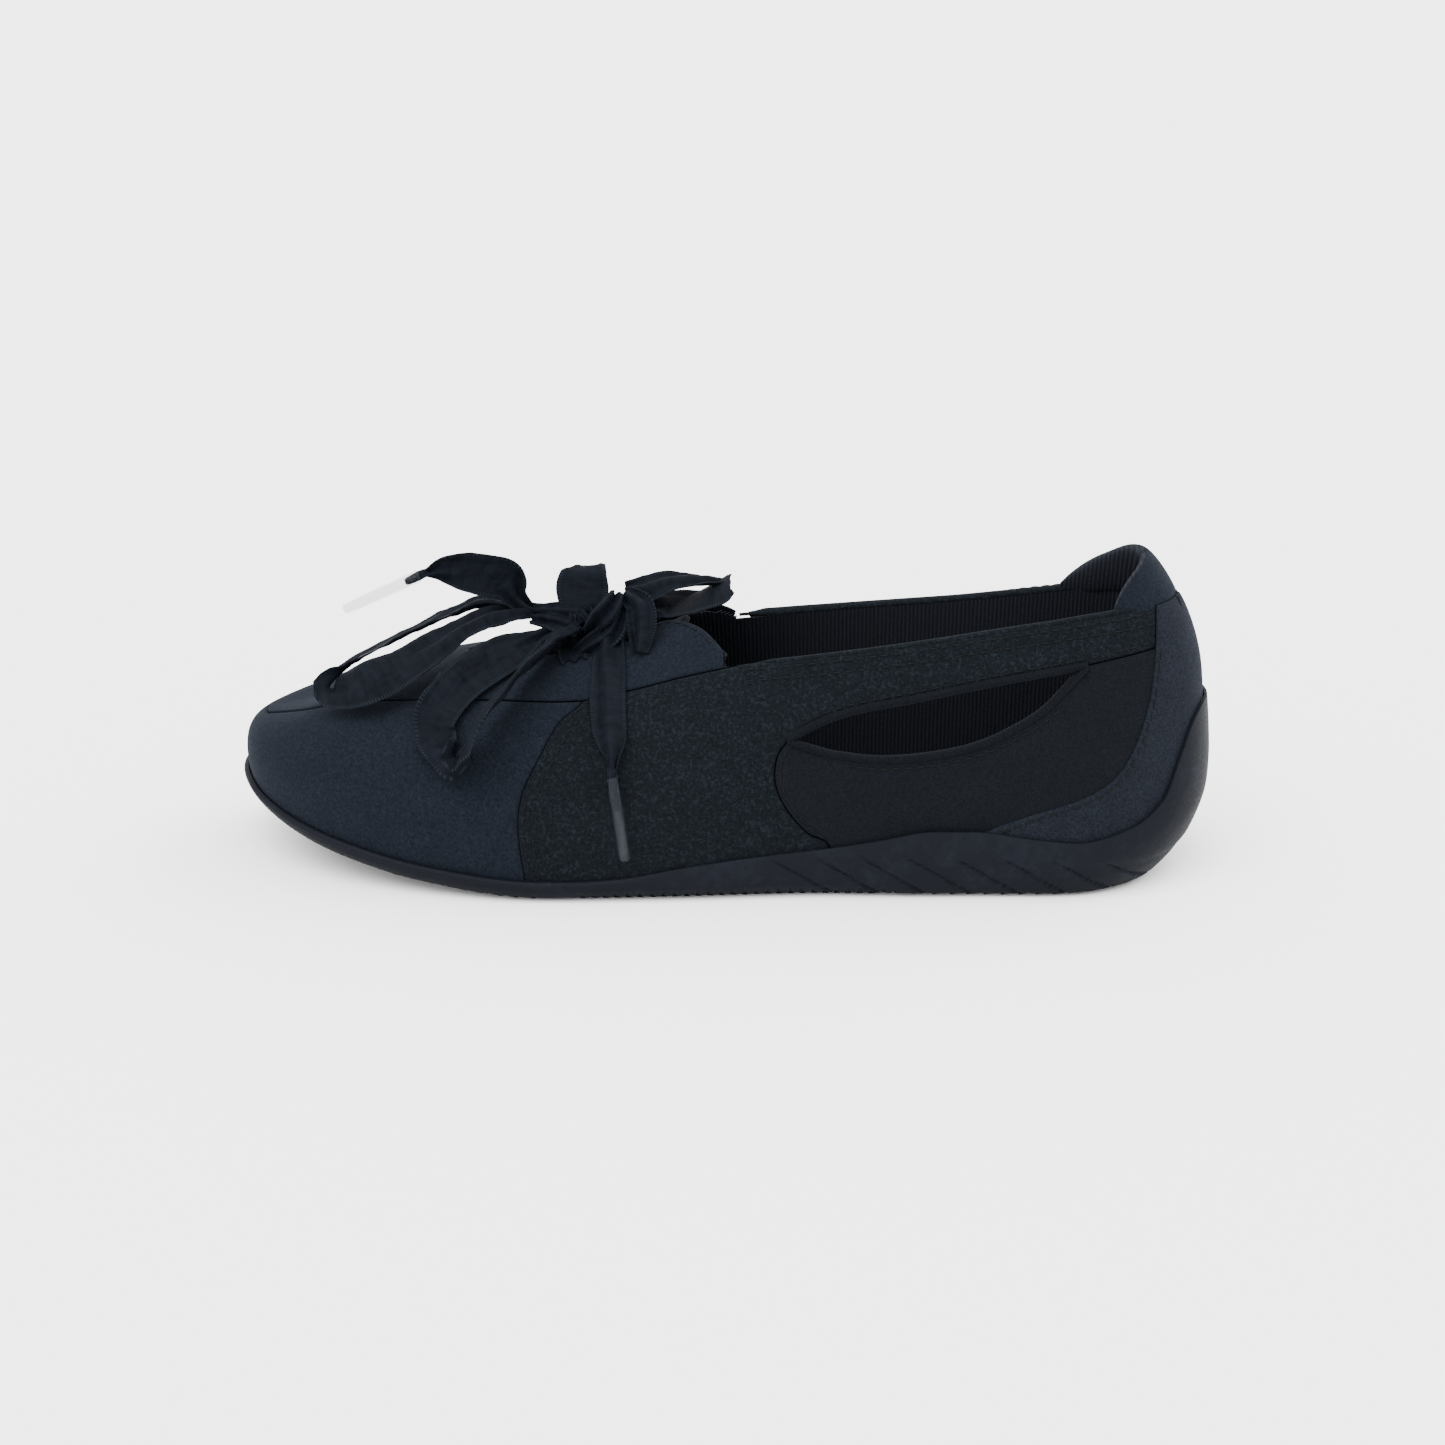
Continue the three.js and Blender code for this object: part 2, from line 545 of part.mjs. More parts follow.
function addLiningAndStiffeners() {
  const skin = skinBetween(LINING_IN, LINING_OUT).subtract(liningTopCut);
  const front = sideBlock([corner(-0.1, FLOOR), corner(LINING_JOIN, FLOOR), corner(LINING_JOIN, SKY),
    corner(-0.1, SKY)], -WIDE, WIDE);
  const rearEdge = LINING_JOIN + SEAM / LENGTH;
  const rear = sideBlock([corner(rearEdge, FLOOR), corner(1.1, FLOOR), corner(1.1, SKY),
    corner(rearEdge, SKY)], -WIDE, WIDE);
  const hole = sideBlock(cutoutLine, -WIDE, WIDE);
  const roomyHoles = wasm.Manifold.union(holeCuts);
  addSolid('vamp_lining', skin.intersect(front).subtract(roomyHoles), 'lining');
  addSolid('quarter_lining', skin.intersect(rear).subtract(hole), 'lining');
  const stiff = skinBetween(STIFFENER_OUT - STIFFENER, STIFFENER_OUT);
  const toe = sideBlock([corner(-0.1, FLOOR), corner(0.15, FLOOR), corner(0.13, 0.4), corner(0.1, SKY),
    corner(-0.1, SKY)], -WIDE, WIDE);
  const heel = sideBlock([corner(0.86, FLOOR), corner(1.1, FLOOR), corner(1.1, 0.66), corner(0.93, 0.64),
    corner(0.9, 0.5), corner(0.87, 0.3)], -WIDE, WIDE);
  addSolid('toe_puff', stiff.intersect(toe), 'stiffener');
  addSolid('heel_counter', stiff.intersect(heel), 'stiffener');
}

function addOverlays() {
  const skin = skinBetween(GAP, OVERLAY_OUT).subtract(topCut);
  const back = [...smooth(OVERLAY_FRONT, 14), corner(1.1, 0.14), corner(1.1, SKY)];
  addSolid('heel_overlay', skin.intersect(sideBlock(back, -WIDE, WIDE)), 'overlay');
  for (const [side, [y0, y1]] of [['lateral', NEAR], ['medial', FAR]]) {
    const ring = sideBlock(grow(cutoutLine, BINDING_OUT), y0, y1).subtract(
      sideBlock(grow(cutoutLine, -BINDING_IN), y0, y1),
    );
    addSolid(`side_binding_${side}`, skin.intersect(ring), 'overlay');
  }
}

function addHeelTab() {
  const rim = COLLAR.map(([s, share]) => [s, share + GAP / HEIGHT]);
  const skin = skinBetween(-TAB_IN, GAP);
  const nearTab = [...smooth(TAB_NEAR, 12), corner(1.1, 0.9), corner(1.1, 0.7), corner(0.885, 0.7)];
  const farTab = [...smooth(TAB_FAR, 12), corner(1.1, 0.9), corner(1.1, 0.7), corner(0.83, 0.7)];
  const nearHalf = sideBlock(nearTab, -WIDE, MIDDLE + 0.01);
  const both = wasm.Manifold.union([nearHalf, sideBlock(farTab, MIDDLE, WIDE)]);
  const above = sideBlock([...smooth(rim, 14), corner(1.1, 0.897), corner(1.1, SKY),
    corner(0.515, SKY)], -WIDE, WIDE);
  addSolid('heel_tab', skin.intersect(both).intersect(above), 'suede');
}

function addTongue() {
  const skin = skinBetween(TONGUE_OUT - TONGUE_THICK, TONGUE_OUT);
  const half = TONGUE_HALF;
  const rear = along(TONGUE_REAR);
  const front = along(THROAT_FRONT) - SLIT_HALF - 3;
  const steps = [[front, -half], [rear - 6, -half], [rear - 1.5, -half + 3], [rear, -half + 7],
    [rear, half - 7], [rear - 1.5, half - 3], [rear - 6, half], [front, half]];
  const outline = steps.map(([x, y]) => new THREE.Vector2(x, MIDDLE + y));
  addSolid('tongue', skin.intersect(planBlock(outline, tall(0.45), tall(1.2))), 'lining');
}

// ---------- sole and footbed ----------
function planPoint(t, z, out) {
  const c = columnAt(t);
  const point = c.foot.clone().addScaledVector(c.inward, rollAt(c.s, z) - out);
  point.z = z;
  return point;
}

const WALL_ROOM = [[0, GAP], [0.6, GAP], [0.72, OVERLAY_OUT + GAP], [1, OVERLAY_OUT + GAP]];

// A ring of the outer face pushed outward by the wall's room plus extra.
function wallRing(row, extra) {
  return GRID.map((column, i) => {
    const out = curve(WALL_ROOM, columnAt(i / COLUMNS).s) + extra;
    return column[row].point.clone().addScaledVector(column[row].normal, out);
  });
}

function levelRing(level, out, outer) {
  return GRID.map((_, i) => {
    const c = columnAt(i / COLUMNS);
    const low = tall(curve(SPRING, c.s));
    const room = outer ? curve(WALL_ROOM, c.s) : 0;
    return planPoint(i / COLUMNS, level(low, c.low), out + room);
  });
}

function addSole() {
  const body = stack([
    levelRing((low) => low, SOLE_WALL - 1.2, true),
    levelRing((low) => low + 0.8, SOLE_WALL - 0.3, true),
    levelRing((low, top) => low + (top - low) * 0.6, SOLE_WALL, true),
    ...[1, 2, 3, 4, 5].map((row) => wallRing(row, SOLE_WALL)),
  ]);
  const room = stack([
    levelRing((low, top) => top - GAP - 0.2, 0, true),
    ...[1, 2, 3, 4, 5, 6].map((row) => wallRing(row, 0)),
  ]);
  const keep = sideBlock([...smooth(SOLE_EDGE, 60), corner(1.1, 0.56), corner(1.1, FLOOR),
    corner(-0.1, FLOOR), corner(-0.1, 0.25)], -WIDE, WIDE);
  addSolid('outsole', body.subtract(room).intersect(keep), 'rubber');
}

function addFootbed() {
  const board = stack([
    levelRing((low, top) => top, -BOARD_INSET, false),
    levelRing((low, top) => top + BOARD_THICK, -BOARD_INSET, false),
  ]);
  addSolid('insole_board', board, 'board');
  const bottom = BOARD_THICK + GAP;
  const bed = stack([
    levelRing((low, top) => top + bottom, -SOCKLINER_INSET, false),
    levelRing((low, top) => top + bottom + SOCKLINER_THICK * 0.7, -SOCKLINER_INSET, false),
    levelRing((low, top) => top + bottom + SOCKLINER_THICK, -SOCKLINER_INSET - 1.5, false),
  ]);
  addSolid('sockliner', bed, 'footbed');
}

// ---------- ribbon ----------
const KNOT = new THREE.Vector3(
  along(KNOT_STATION), MIDDLE - 4.9, tall(curve(RIDGE, KNOT_STATION)) + KNOT_SIZE[2] / 2 + 0.6,
);

// Pushes a point out of the upper until it stands clear by the given room.
function standOff(point, room) {
  let best = Infinity;
  let cell = null;
  for (const column of GRID) {
    for (const candidate of column) {
      const far = candidate.point.distanceToSquared(point);
      if (far < best) {
        best = far;
        cell = candidate;
      }
    }
  }
  const height = point.clone().sub(cell.point).dot(cell.normal);
  return height < room ? point.clone().addScaledVector(cell.normal, room - height) : point;
}

// A flat strip through stations of centre, width direction and width.
function strip(stations, segments, clear) {
  const path = new THREE.CatmullRomCurve3(stations.map((s) => s.centre), false, 'centripetal');
  const last = stations.length - 1;
  const rings = [];
  for (let i = 0; i <= segments; i++) {
    const u = i / segments;
    const place = u * last;
    const k = Math.min(Math.floor(place), last - 1);
    const f = place - k;
    const centre = path.getPoint(u);
    const tangent = path.getTangent(u);
    const across = stations[k].across.clone().lerp(stations[k + 1].across, f);
    across.addScaledVector(tangent, -across.dot(tangent)).normalize();
    const normal = tangent.clone().cross(across).normalize();
    const half = (stations[k].width * (1 - f) + stations[k + 1].width * f) / 2;
    const room = RIBBON_THICK / 2 + RIBBON_CLEAR;
    const edges = [-1, 1].map((side) => {
      const edge = centre.clone().addScaledVector(across, side * half);
      return clear ? standOff(edge, room) : edge;
    });
    const lift = normal.multiplyScalar(RIBBON_THICK / 2);
    const under = edges.map((edge) => edge.clone().sub(lift));
    const over = edges.map((edge) => edge.clone().add(lift));
    rings.push([under[0], under[1], over[1], over[0]]);
  }
  const triangles = [];
  for (let i = 0; i < segments; i++) {
    for (let j = 0; j < 4; j++) {
      const a = i * 4 + j;
      const b = i * 4 + ((j + 1) % 4);
      addQuad(triangles, a, b, b + 4, a + 4);
    }
  }
  addQuad(triangles, 3, 2, 1, 0);
  const end = segments * 4;
  addQuad(triangles, end, end + 1, end + 2, end + 3);
  return fromLists(rings.flat(), triangles);
}

function addRun(name, segments) {
  const stations = RUNS[name].map(([x, y, z, wx, wy, wz, share]) => ({
    centre: KNOT.clone().add(new THREE.Vector3(x, y, z)),
    across: new THREE.Vector3(wx, wy, wz).normalize(),
    width: RIBBON_WIDTH * share,
  }));
  addSolid(name, toManifold(strip(stations, segments, true)), 'ribbon');
}

function addKnot() {
  const ball = new THREE.SphereGeometry(0.5, 14, 9);
  ball.scale(KNOT_SIZE[0], KNOT_SIZE[1], KNOT_SIZE[2]);
  ball.translate(KNOT.x, KNOT.y, KNOT.z);
  addSolid('knot', toManifold(ball), 'ribbon');
}

// Height of the outer face straight above a plan point.
function roofAt(x, y) {
  const here = new THREE.Vector3(x, y, 0);
  const weight = new THREE.Vector3();
  let top = -Infinity;
  for (const cells of FACETS) {
    const flat = cells.map((cell) => cell.point.clone().setZ(0));
    const found = THREE.Triangle.getBarycoord(here, ...flat, weight);
    if (!found || Math.min(weight.x, weight.y, weight.z) < -1e-6) continue;
    const z = weight.x * cells[0].point.z + weight.y * cells[1].point.z + weight.z * cells[2].point.z;
    top = Math.max(top, z);
  }
  return top;
}

// A cross bar of ribbon that dips through a pair of holes.
function addBar(name, s) {
  const x = along(s);
  const rest = RIBBON_THICK / 2 + GAP + 0.2;
  const rim = HOLE_OUT - HOLE_WIDE / 2;
  const steps = [[-HOLE_OUT, -2.6], [-HOLE_OUT, 0.4], [-rim, rest], [-SLIT_HALF, rest],
    [SLIT_HALF, rest], [rim, rest], [HOLE_OUT, 0.4], [HOLE_OUT, -2.6]];
  const stations = steps.map(([y, lift]) => {
    const under = [-1, 0, 1].map((side) => roofAt(x + (side * BAR_WIDTH) / 2, MIDDLE + y));
    const centre = new THREE.Vector3(x, MIDDLE + y, Math.max(...under) + lift);
    return { centre, across: new THREE.Vector3(1, 0, 0), width: BAR_WIDTH };
  });
  addSolid(name, toManifold(strip(stations, 16, false)), 'ribbon');
}

function addAglet(name, [from, way]) {
  const axis = new THREE.Vector3(...way).normalize();
  const tube = new THREE.CylinderGeometry(AGLET_RADIUS * 0.8, AGLET_RADIUS, AGLET_LONG, 12);
  tube.applyQuaternion(new THREE.Quaternion().setFromUnitVectors(new THREE.Vector3(0, 1, 0), axis));
  const middle = KNOT.clone().add(new THREE.Vector3(...from)).addScaledVector(axis, AGLET_LONG / 2 + GAP);
  tube.translate(middle.x, middle.y, middle.z);
  addSolid(name, toManifold(tube), 'clear');
}

addSole();
addFootbed();
addLiningAndStiffeners();
addOuterPanels();
addOverlays();
addHeelTab();
addTongue();
addBar('bar_front', HOLE_STATIONS[0]);
addBar('bar_rear', HOLE_STATIONS[1]);
addKnot();
addRun('fold_up', 10);
addRun('leaf', 8);
addRun('loop_front_far', 30);
addRun('loop_front_near', 28);
addRun('loop_rear', 22);
addRun('tail_front', 20);
addRun('tail_near', 16);
addAglet('aglet_front', AGLET_FRONT);
addAglet('aglet_near', AGLET_NEAR);

export default group;
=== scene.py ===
"""Lace-up ballerina slipper, left foot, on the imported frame. Metres, +Z up, toe at -X, outer side at -Y."""
import math

import bmesh
import bpy
import numpy as np
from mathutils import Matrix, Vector, geometry, noise
from mathutils.bvhtree import BVHTree
from mathutils.kdtree import KDTree


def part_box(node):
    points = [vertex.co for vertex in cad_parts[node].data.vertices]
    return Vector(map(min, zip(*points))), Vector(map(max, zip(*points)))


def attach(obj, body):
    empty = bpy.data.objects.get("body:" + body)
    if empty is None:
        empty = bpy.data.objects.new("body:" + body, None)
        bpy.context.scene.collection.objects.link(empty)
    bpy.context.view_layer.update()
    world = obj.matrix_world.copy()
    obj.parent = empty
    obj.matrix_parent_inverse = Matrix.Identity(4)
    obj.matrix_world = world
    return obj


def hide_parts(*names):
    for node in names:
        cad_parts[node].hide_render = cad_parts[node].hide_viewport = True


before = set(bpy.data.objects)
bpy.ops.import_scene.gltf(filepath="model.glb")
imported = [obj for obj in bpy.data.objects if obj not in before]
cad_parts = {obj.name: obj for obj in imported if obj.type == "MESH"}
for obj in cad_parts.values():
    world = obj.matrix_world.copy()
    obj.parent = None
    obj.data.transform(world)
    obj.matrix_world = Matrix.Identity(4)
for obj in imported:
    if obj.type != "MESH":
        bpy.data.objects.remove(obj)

scene = bpy.context.scene
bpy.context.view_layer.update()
MM = 0.001

# ---- overall sizes, from the boxes of the CAD nodes ----
SOLE_LOW, SOLE_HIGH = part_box("outsole")
TAB_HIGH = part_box("heel_tab")[1]
KNOT_LOW, KNOT_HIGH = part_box("knot")
LENGTH = (SOLE_HIGH.x - SOLE_LOW.x) * 0.98214
HALF_WIDTH = (SOLE_HIGH.y - SOLE_LOW.y) * 0.47983
HEIGHT = TAB_HIGH.z * 1.00229
KNOT = (KNOT_LOW + KNOT_HIGH) / 2
MIDDLE = 0.02 * HALF_WIDTH
BOW = np.array(KNOT) + [0.0029, 0, 0.0004]


# ---- the foot shape: station along the length against a share of the half width or of the height ----
OUTLINE = np.array([
    [0, 0.05], [0.028, -0.42], [0.1, -0.78], [0.2, -0.98], [0.32, -1.06],
    [0.46, -0.98], [0.6, -0.86], [0.76, -0.78], [0.9, -0.7], [0.975, -0.42],
    [1, 0], [0.975, 0.42], [0.9, 0.68], [0.76, 0.7], [0.6, 0.7],
    [0.46, 0.8], [0.32, 0.93], [0.2, 0.93], [0.1, 0.78], [0.028, 0.46],
])
SPRING = [[0, 0.208], [0.05, 0.149], [0.12, 0.089], [0.22, 0.031], [0.34, 0], [0.9, 0], [1, 0.006]]
FEATHER = [[0, 0.25], [0.05, 0.196], [0.12, 0.143], [0.22, 0.086], [0.34, 0.055], [0.5, 0.062],
           [0.7, 0.095], [0.85, 0.119], [1, 0.131]]
RIDGE = [[0.08, 0.467], [0.14, 0.542], [0.22, 0.613], [0.32, 0.679], [0.42, 0.75], [0.5, 0.869],
         [0.58, 1.07], [0.68, 1.286], [0.8, 1.476], [0.95, 1.62]]
BULGE = [[0, 3], [0.1, 3], [0.4, 1.5], [0.7, 1], [1, 2]]
LIFT = [[0, 0.95], [0.1, 0.82], [0.2, 0.72], [0.35, 0.6], [0.5, 0.5], [0.65, 0.4], [0.9, 0.33],
        [0.96, 0.4], [1, 0.52]]
FLAT = [[0, 0.62], [0.2, 0.6], [0.5, 0.5], [0.7, 0.4], [0.9, 0.22], [0.96, 0.4], [1, 0.62]]
ROLL = [[0, 1.5], [0.85, 2.5], [0.94, 7], [1, 12]]
ROLL_HEIGHT = [[0, 0.07], [0.8, 0.07], [0.93, 0.19], [1, 0.333]]
SPINE_FRONT, SPINE_REAR = 0.095, 0.86
LEAN, LEAN_FROM, LEAN_OVER = 8.5 * MM, 0.619, 0.381

# ---- seams in side view: station against a share of the height ----
COLLAR = [[0.515, 0.69], [0.63, 0.74], [0.73, 0.787], [0.826, 0.835], [0.938, 0.881], [1.04, 0.893]]
COLLAR_FAR = [[0.515, 0.73], [0.63, 0.753], [0.73, 0.777], [0.826, 0.812], [0.938, 0.862], [1.04, 0.88]]
APRON_HALF = [[0.021, 0.02], [0.0225, 0.06], [0.03, 0.14], [0.068, 0.293], [0.097, 0.37], [0.2, 0.545],
              [0.314, 0.648], [0.375, 0.657], [0.41, 0.62], [0.465, 0.573], [0.53, 0.55]]
VAMP_SEAM = [[0.4, 0.7], [0.377, 0.59], [0.353, 0.53], [0.336, 0.44], [0.32, 0.33], [0.318, 0.2],
             [0.33, -0.05]]
STRAP_EDGE = [[0.581, 0.487], [0.614, 0.545], [0.652, 0.583], [0.7, 0.613], [0.76, 0.652],
              [0.817, 0.687], [0.876, 0.72]]
CUTOUT_LOW = [[0.855, 0.655], [0.829, 0.576], [0.78, 0.492], [0.732, 0.452], [0.674, 0.436],
              [0.625, 0.45]]
PANEL_FRONT = [[0.581, 0.487], [0.571, 0.438], [0.57, 0.364], [0.581, 0.287], [0.602, 0.211],
               [0.626, 0.158], [0.64, -0.05]]
STRAP_REAR = [[0.876, 0.72], [0.94, 0.758], [1.04, 0.8]]
OVERLAY_FRONT = [[0.941, 0.92], [0.941, 0.74], [0.936, 0.595], [0.923, 0.464], [0.904, 0.376],
                 [0.871, 0.318], [0.821, 0.267], [0.775, 0.208], [0.76, 0.14]]
SOLE_EDGE = [[-0.05, 0.25], [0, 0.25], [0.05, 0.202], [0.1, 0.155], [0.15, 0.125], [0.19, 0.107],
             [0.27, 0.075], [0.34, 0.066], [0.41, 0.075], [0.49, 0.114], [0.57, 0.144], [0.62, 0.161],
             [0.67, 0.187], [0.73, 0.219], [0.775, 0.218], [0.82, 0.199], [0.872, 0.185],
             [0.921, 0.221], [0.952, 0.293], [0.968, 0.421], [0.981, 0.524], [0.992, 0.56],
             [1.05, 0.56]]
TAB_NEAR = [[0.895, 0.84], [0.909, 0.93], [0.924, 0.985], [0.946, 1.028], [0.965, 1.01], [1.04, 0.92]]
TAB_FAR = [[0.845, 0.8], [0.868, 0.885], [0.9, 0.96], [0.942, 1.026], [0.965, 1.01], [1.04, 0.92]]
SLIT_HALF, THROAT_FRONT, THROAT_REAR = 5.5 * MM, 0.265, 0.519
HOLE_STATIONS, HOLE_OUT, HOLE_LONG, HOLE_WIDE = [0.335, 0.425], 10.5 * MM, 6.4 * MM, 3.6 * MM
LINING_JOIN = 0.46
WALL_ROOM = [[0, 0.3], [0.6, 0.3], [0.72, 1.4], [1, 1.4]]
SOLE_WALL = 1.6 * MM

# ---- ribbon runs: offset from BOW x, y, z in mm, width direction, share of the full width ----
# BOW is moved off the middle of the CAD knot, and these routes are not the CAD's: they leave its runs by up
# to 18 mm.
RIBBON_WIDTH = 11 * MM
RUNS = {
    "tail_front": [
        [-17, 1, 1.1, 0.08, -0.67, -0.74, 0.27], [-20.8, 0.5, 1, 0, -0.66, -0.75, 0.41],
        [-24.2, 0, 4.4, -0.68, -0.34, -0.65, 0.53], [-25.7, -1, 8.2, -0.79, -0.2, -0.58, 0.93],
        [-27.7, -2.5, 10.7, -0.73, -0.08, -0.68, 1.14], [-32, -4.5, 12.1, -0.6, -0.08, -0.79, 1.1],
        [-37.2, -6.5, 13.4, -0.54, -0.09, -0.83, 1], [-42.5, -8, 14.1, -0.41, 0, -0.91, 0.7],
        [-45.8, -9, 13.5, -0.29, 0, -0.96, 0.33], [-47.6, -9.5, 12.9, -0.4, 0, -0.92, 0.09],
    ],
    "loop_front_far": [
        [-17.2, 2, 0.6, 0.15, -0.98, -0.13, 0.37], [-25.2, 4.5, 0.5, 0.06, -1, -0.07, 0.64],
        [-34.5, 4.5, 2, 0.05, -0.99, -0.08, 0.82], [-43.4, 3.5, -1.6, 0.13, -0.99, 0.11, 1.02],
        [-52.2, 1.5, -5.3, 0.16, -0.98, 0.15, 1.03], [-59.8, -1.5, -8.6, 0.19, -0.97, 0.16, 1.03],
        [-66.7, -5.5, -11.7, 0.17, -0.97, 0.15, 1.03], [-70.5, -10.5, -13.4, 0.06, -1, 0.02, 0.82],
        [-72.2, -14.5, -15.1, 0.04, -1, -0.08, 0.82], [-71.6, -18, -16.8, 0.11, -0.91, -0.39, 0.8],
        [-67.3, -21, -15.8, 0.19, -0.59, -0.79, 0.92], [-60.2, -24, -12.7, 0.27, -0.35, -0.9, 1.03],
        [-53.6, -20.2, -10.3, 0.31, -0.66, -0.68, 1.03], [-46.1, -16, -6.3, 0.41, -0.79, -0.45, 0.92],
        [-39.3, -10, -2.6, 0.49, -0.85, -0.21, 0.86], [-32, -4, 0.3, 0.44, -0.87, -0.2, 0.83],
        [-24.6, 0, 0.6, 0.29, -0.95, -0.14, 0.58], [-17.1, 1.5, 0.4, 0.14, -0.96, -0.23, 0.28],
    ],
    "loop_front_near": [
        [-11.8, -4.5, -1.4, 0.1, -0.78, -0.62, 0.35], [-16.8, -7, -3.7, 0.43, -0.74, -0.51, 0.49],
        [-23.4, -11.2, -6.7, 0.7, -0.41, -0.59, 1], [-31, -17.7, -9.9, 0.77, -0.22, -0.6, 1.03],
        [-37.1, -24, -14, 0.83, -0.18, -0.53, 1.03], [-40.8, -29.2, -18.8, 0.88, -0.13, -0.46, 1.03],
        [-41, -31.5, -23.7, 0.92, -0.36, -0.17, 1.01], [-38.4, -36.2, -25.9, 0.92, -0.35, 0.15, 0.9],
        [-35.3, -39.5, -27.8, 0.77, -0.45, 0.44, 1.01], [-31.6, -41.2, -24.7, 0.56, -0.49, 0.67, 1.02],
        [-28.3, -41, -18.8, 0.28, -0.78, 0.55, 0.93], [-25.2, -35, -14.6, 0.23, -0.8, 0.56, 0.91],
        [-20.3, -27, -9.1, 0.22, -0.8, 0.56, 0.91], [-16.3, -19, -6.2, 0.21, -0.81, 0.55, 0.9],
        [-12, -11, -3.4, 0.27, -0.78, 0.57, 0.7], [-7.5, -7, -1.4, 0.25, -0.75, 0.61, 0.48],
    ],
    "loop_rear": [
        [5.4, -1, 7.3, 0.23, -0.71, -0.67, 0.51], [10.9, -0.5, 7.9, 0.23, -0.77, -0.6, 0.83],
        [16.5, 1, 9.6, 0.14, -0.89, -0.43, 0.82], [23.5, 3, 9.6, -0.08, -0.98, -0.19, 0.74],
        [29.9, 4.5, 8.9, -0.41, -0.9, -0.13, 0.5], [34.2, 4, 7.6, -0.31, -0.94, 0.16, 0.39],
        [36.3, 3.5, 4.6, -0.35, -0.66, 0.66, 0.41], [37.1, 2, 1.4, -0.19, -0.93, 0.3, 0.39],
        [35.3, 1.5, 2.2, 0.24, -0.94, -0.23, 0.87], [26, 2, 2.5, 0.08, -0.94, -0.33, 1.16],
        [18.4, 2.5, 2.8, 0.01, -0.91, -0.41, 1.09], [11.7, 2, 2.8, 0.09, -0.9, -0.43, 0.81],
        [5.8, 1, 2.8, 0.1, -0.86, -0.5, 0.42],
    ],
    "fold_up": [
        [-5.4, -4.5, -0.6, 0.89, -0.12, 0.44, 0.74], [-6, -4.2, 3.2, 0.97, -0.04, 0.23, 1.08],
        [-5.9, -3, 8.1, 1, 0, 0.07, 1.34], [-5.3, -2, 13, 1, 0, 0.07, 1.07],
        [-5.3, 1, 13.5, 1, 0, 0.04, 0.91], [-6.1, 4, 10.8, 1, 0, 0.02, 0.99],
        [-6.8, 5, 5, 0.99, 0, 0.11, 0.98], [-5.9, 3.5, -0.3, 0.98, -0.16, 0.14, 0.56],
    ],
    "fold_side": [
        [-2.9, -7, -2, 0.89, 0, -0.45, 0.42], [-0.2, -9, 1.9, 0.88, 0, -0.48, 0.58],
        [2.5, -9, 5.2, 0.84, 0, -0.54, 0.5], [3.7, -6, 7.5, 0.85, 0, -0.53, 0.34],
    ],
    "knot_diagonal": [
        [4.8, -4.5, 7.6, 0.82, -0.32, -0.48, 0.42], [4.6, -7.5, 3.1, 0.73, -0.25, -0.64, 0.52],
        [2.5, -9.7, -1.7, 0.83, -0.1, -0.56, 0.6], [-2.4, -10.5, -5.2, 0.64, -0.23, -0.73, 0.54],
        [-6.4, -9.5, -8.3, 0.43, -0.29, -0.86, 0.42],
    ],
    "knot_gather": [
        [-19.6, -2.5, 0.6, 0.07, -0.59, -0.81, 0.47], [-15.5, -4, 0.9, 0.04, -0.57, -0.82, 0.63],
        [-11.2, -5, 0.7, 0.15, -0.45, -0.88, 0.81], [-6.2, -5.5, 0.1, 0.24, -0.53, -0.81, 0.86],
    ],
    "knot_foot": [
        [-7.4, -2, -1.5, 1, 0, 0.08, 0.8], [-7.8, -5, -6.1, 0.99, 0, 0.12, 0.84],
        [-7.2, -8, -11.3, 1, 0, 0, 0.72], [-6, -10, -15.6, 1, 0, 0.02, 0.6],
    ],
    "leaf": [
        [5.8, -5.5, 7.6, 0.84, -0.21, 0.5, 0.43], [9.8, -8.5, 6, 0.99, -0.14, -0.02, 0.67],
        [10.7, -10.5, 2.5, 0.98, -0.12, 0.18, 0.77], [10.7, -12.5, -2.5, 0.97, -0.16, 0.21, 0.58],
        [10.5, -14.2, -5.7, 0.92, -0.34, 0.17, 0.37],
    ],
    "tail_near": [
        [2.2, -8, -1.1, 1, 0, 0.07, 0.57], [2, -11.5, -5.7, 0.98, -0.13, 0.17, 0.76],
        [2.8, -19.7, -10.1, 0.99, -0.16, 0.07, 0.83], [3.4, -26.3, -15.2, 1, -0.01, 0.03, 0.85],
        [4.3, -31.1, -20.9, 1, 0.02, 0.02, 0.82], [5.3, -34.5, -24.4, 0.99, -0.14, 0.07, 0.67],
        [5.9, -36.9, -27.1, 1, 0.05, 0.07, 0.27], [6, -38.9, -31.2, 0.98, 0.17, -0.03, 0.14],
    ],
}


# ---------- the camera comes first ----------
def place_camera():
    """Low three-quarter side view, the lens and distance that show the slipper 260 mm long."""
    lift, turn, away = math.radians(18.6), math.radians(4.4), 0.62
    back = Vector((math.sin(turn) * math.cos(lift), -math.cos(turn) * math.cos(lift), math.sin(lift)))
    data = bpy.data.cameras.new("camera")
    data.sensor_width, data.lens = 36, 56.6
    data.clip_start, data.clip_end = 0.01, 20
    camera = bpy.data.objects.new("camera", data)
    camera.location = Vector((0.0018, 0, 0.03465)) + back * away
    camera.rotation_euler = (-back).to_track_quat("-Z", "Y").to_euler()
    scene.collection.objects.link(camera)
    scene.camera = camera


place_camera()


# ---------- the foot surface ----------
def along(s):
    return (np.asarray(s, float) - 0.5) * LENGTH


def tall(share):
    return np.asarray(share, float) * HEIGHT


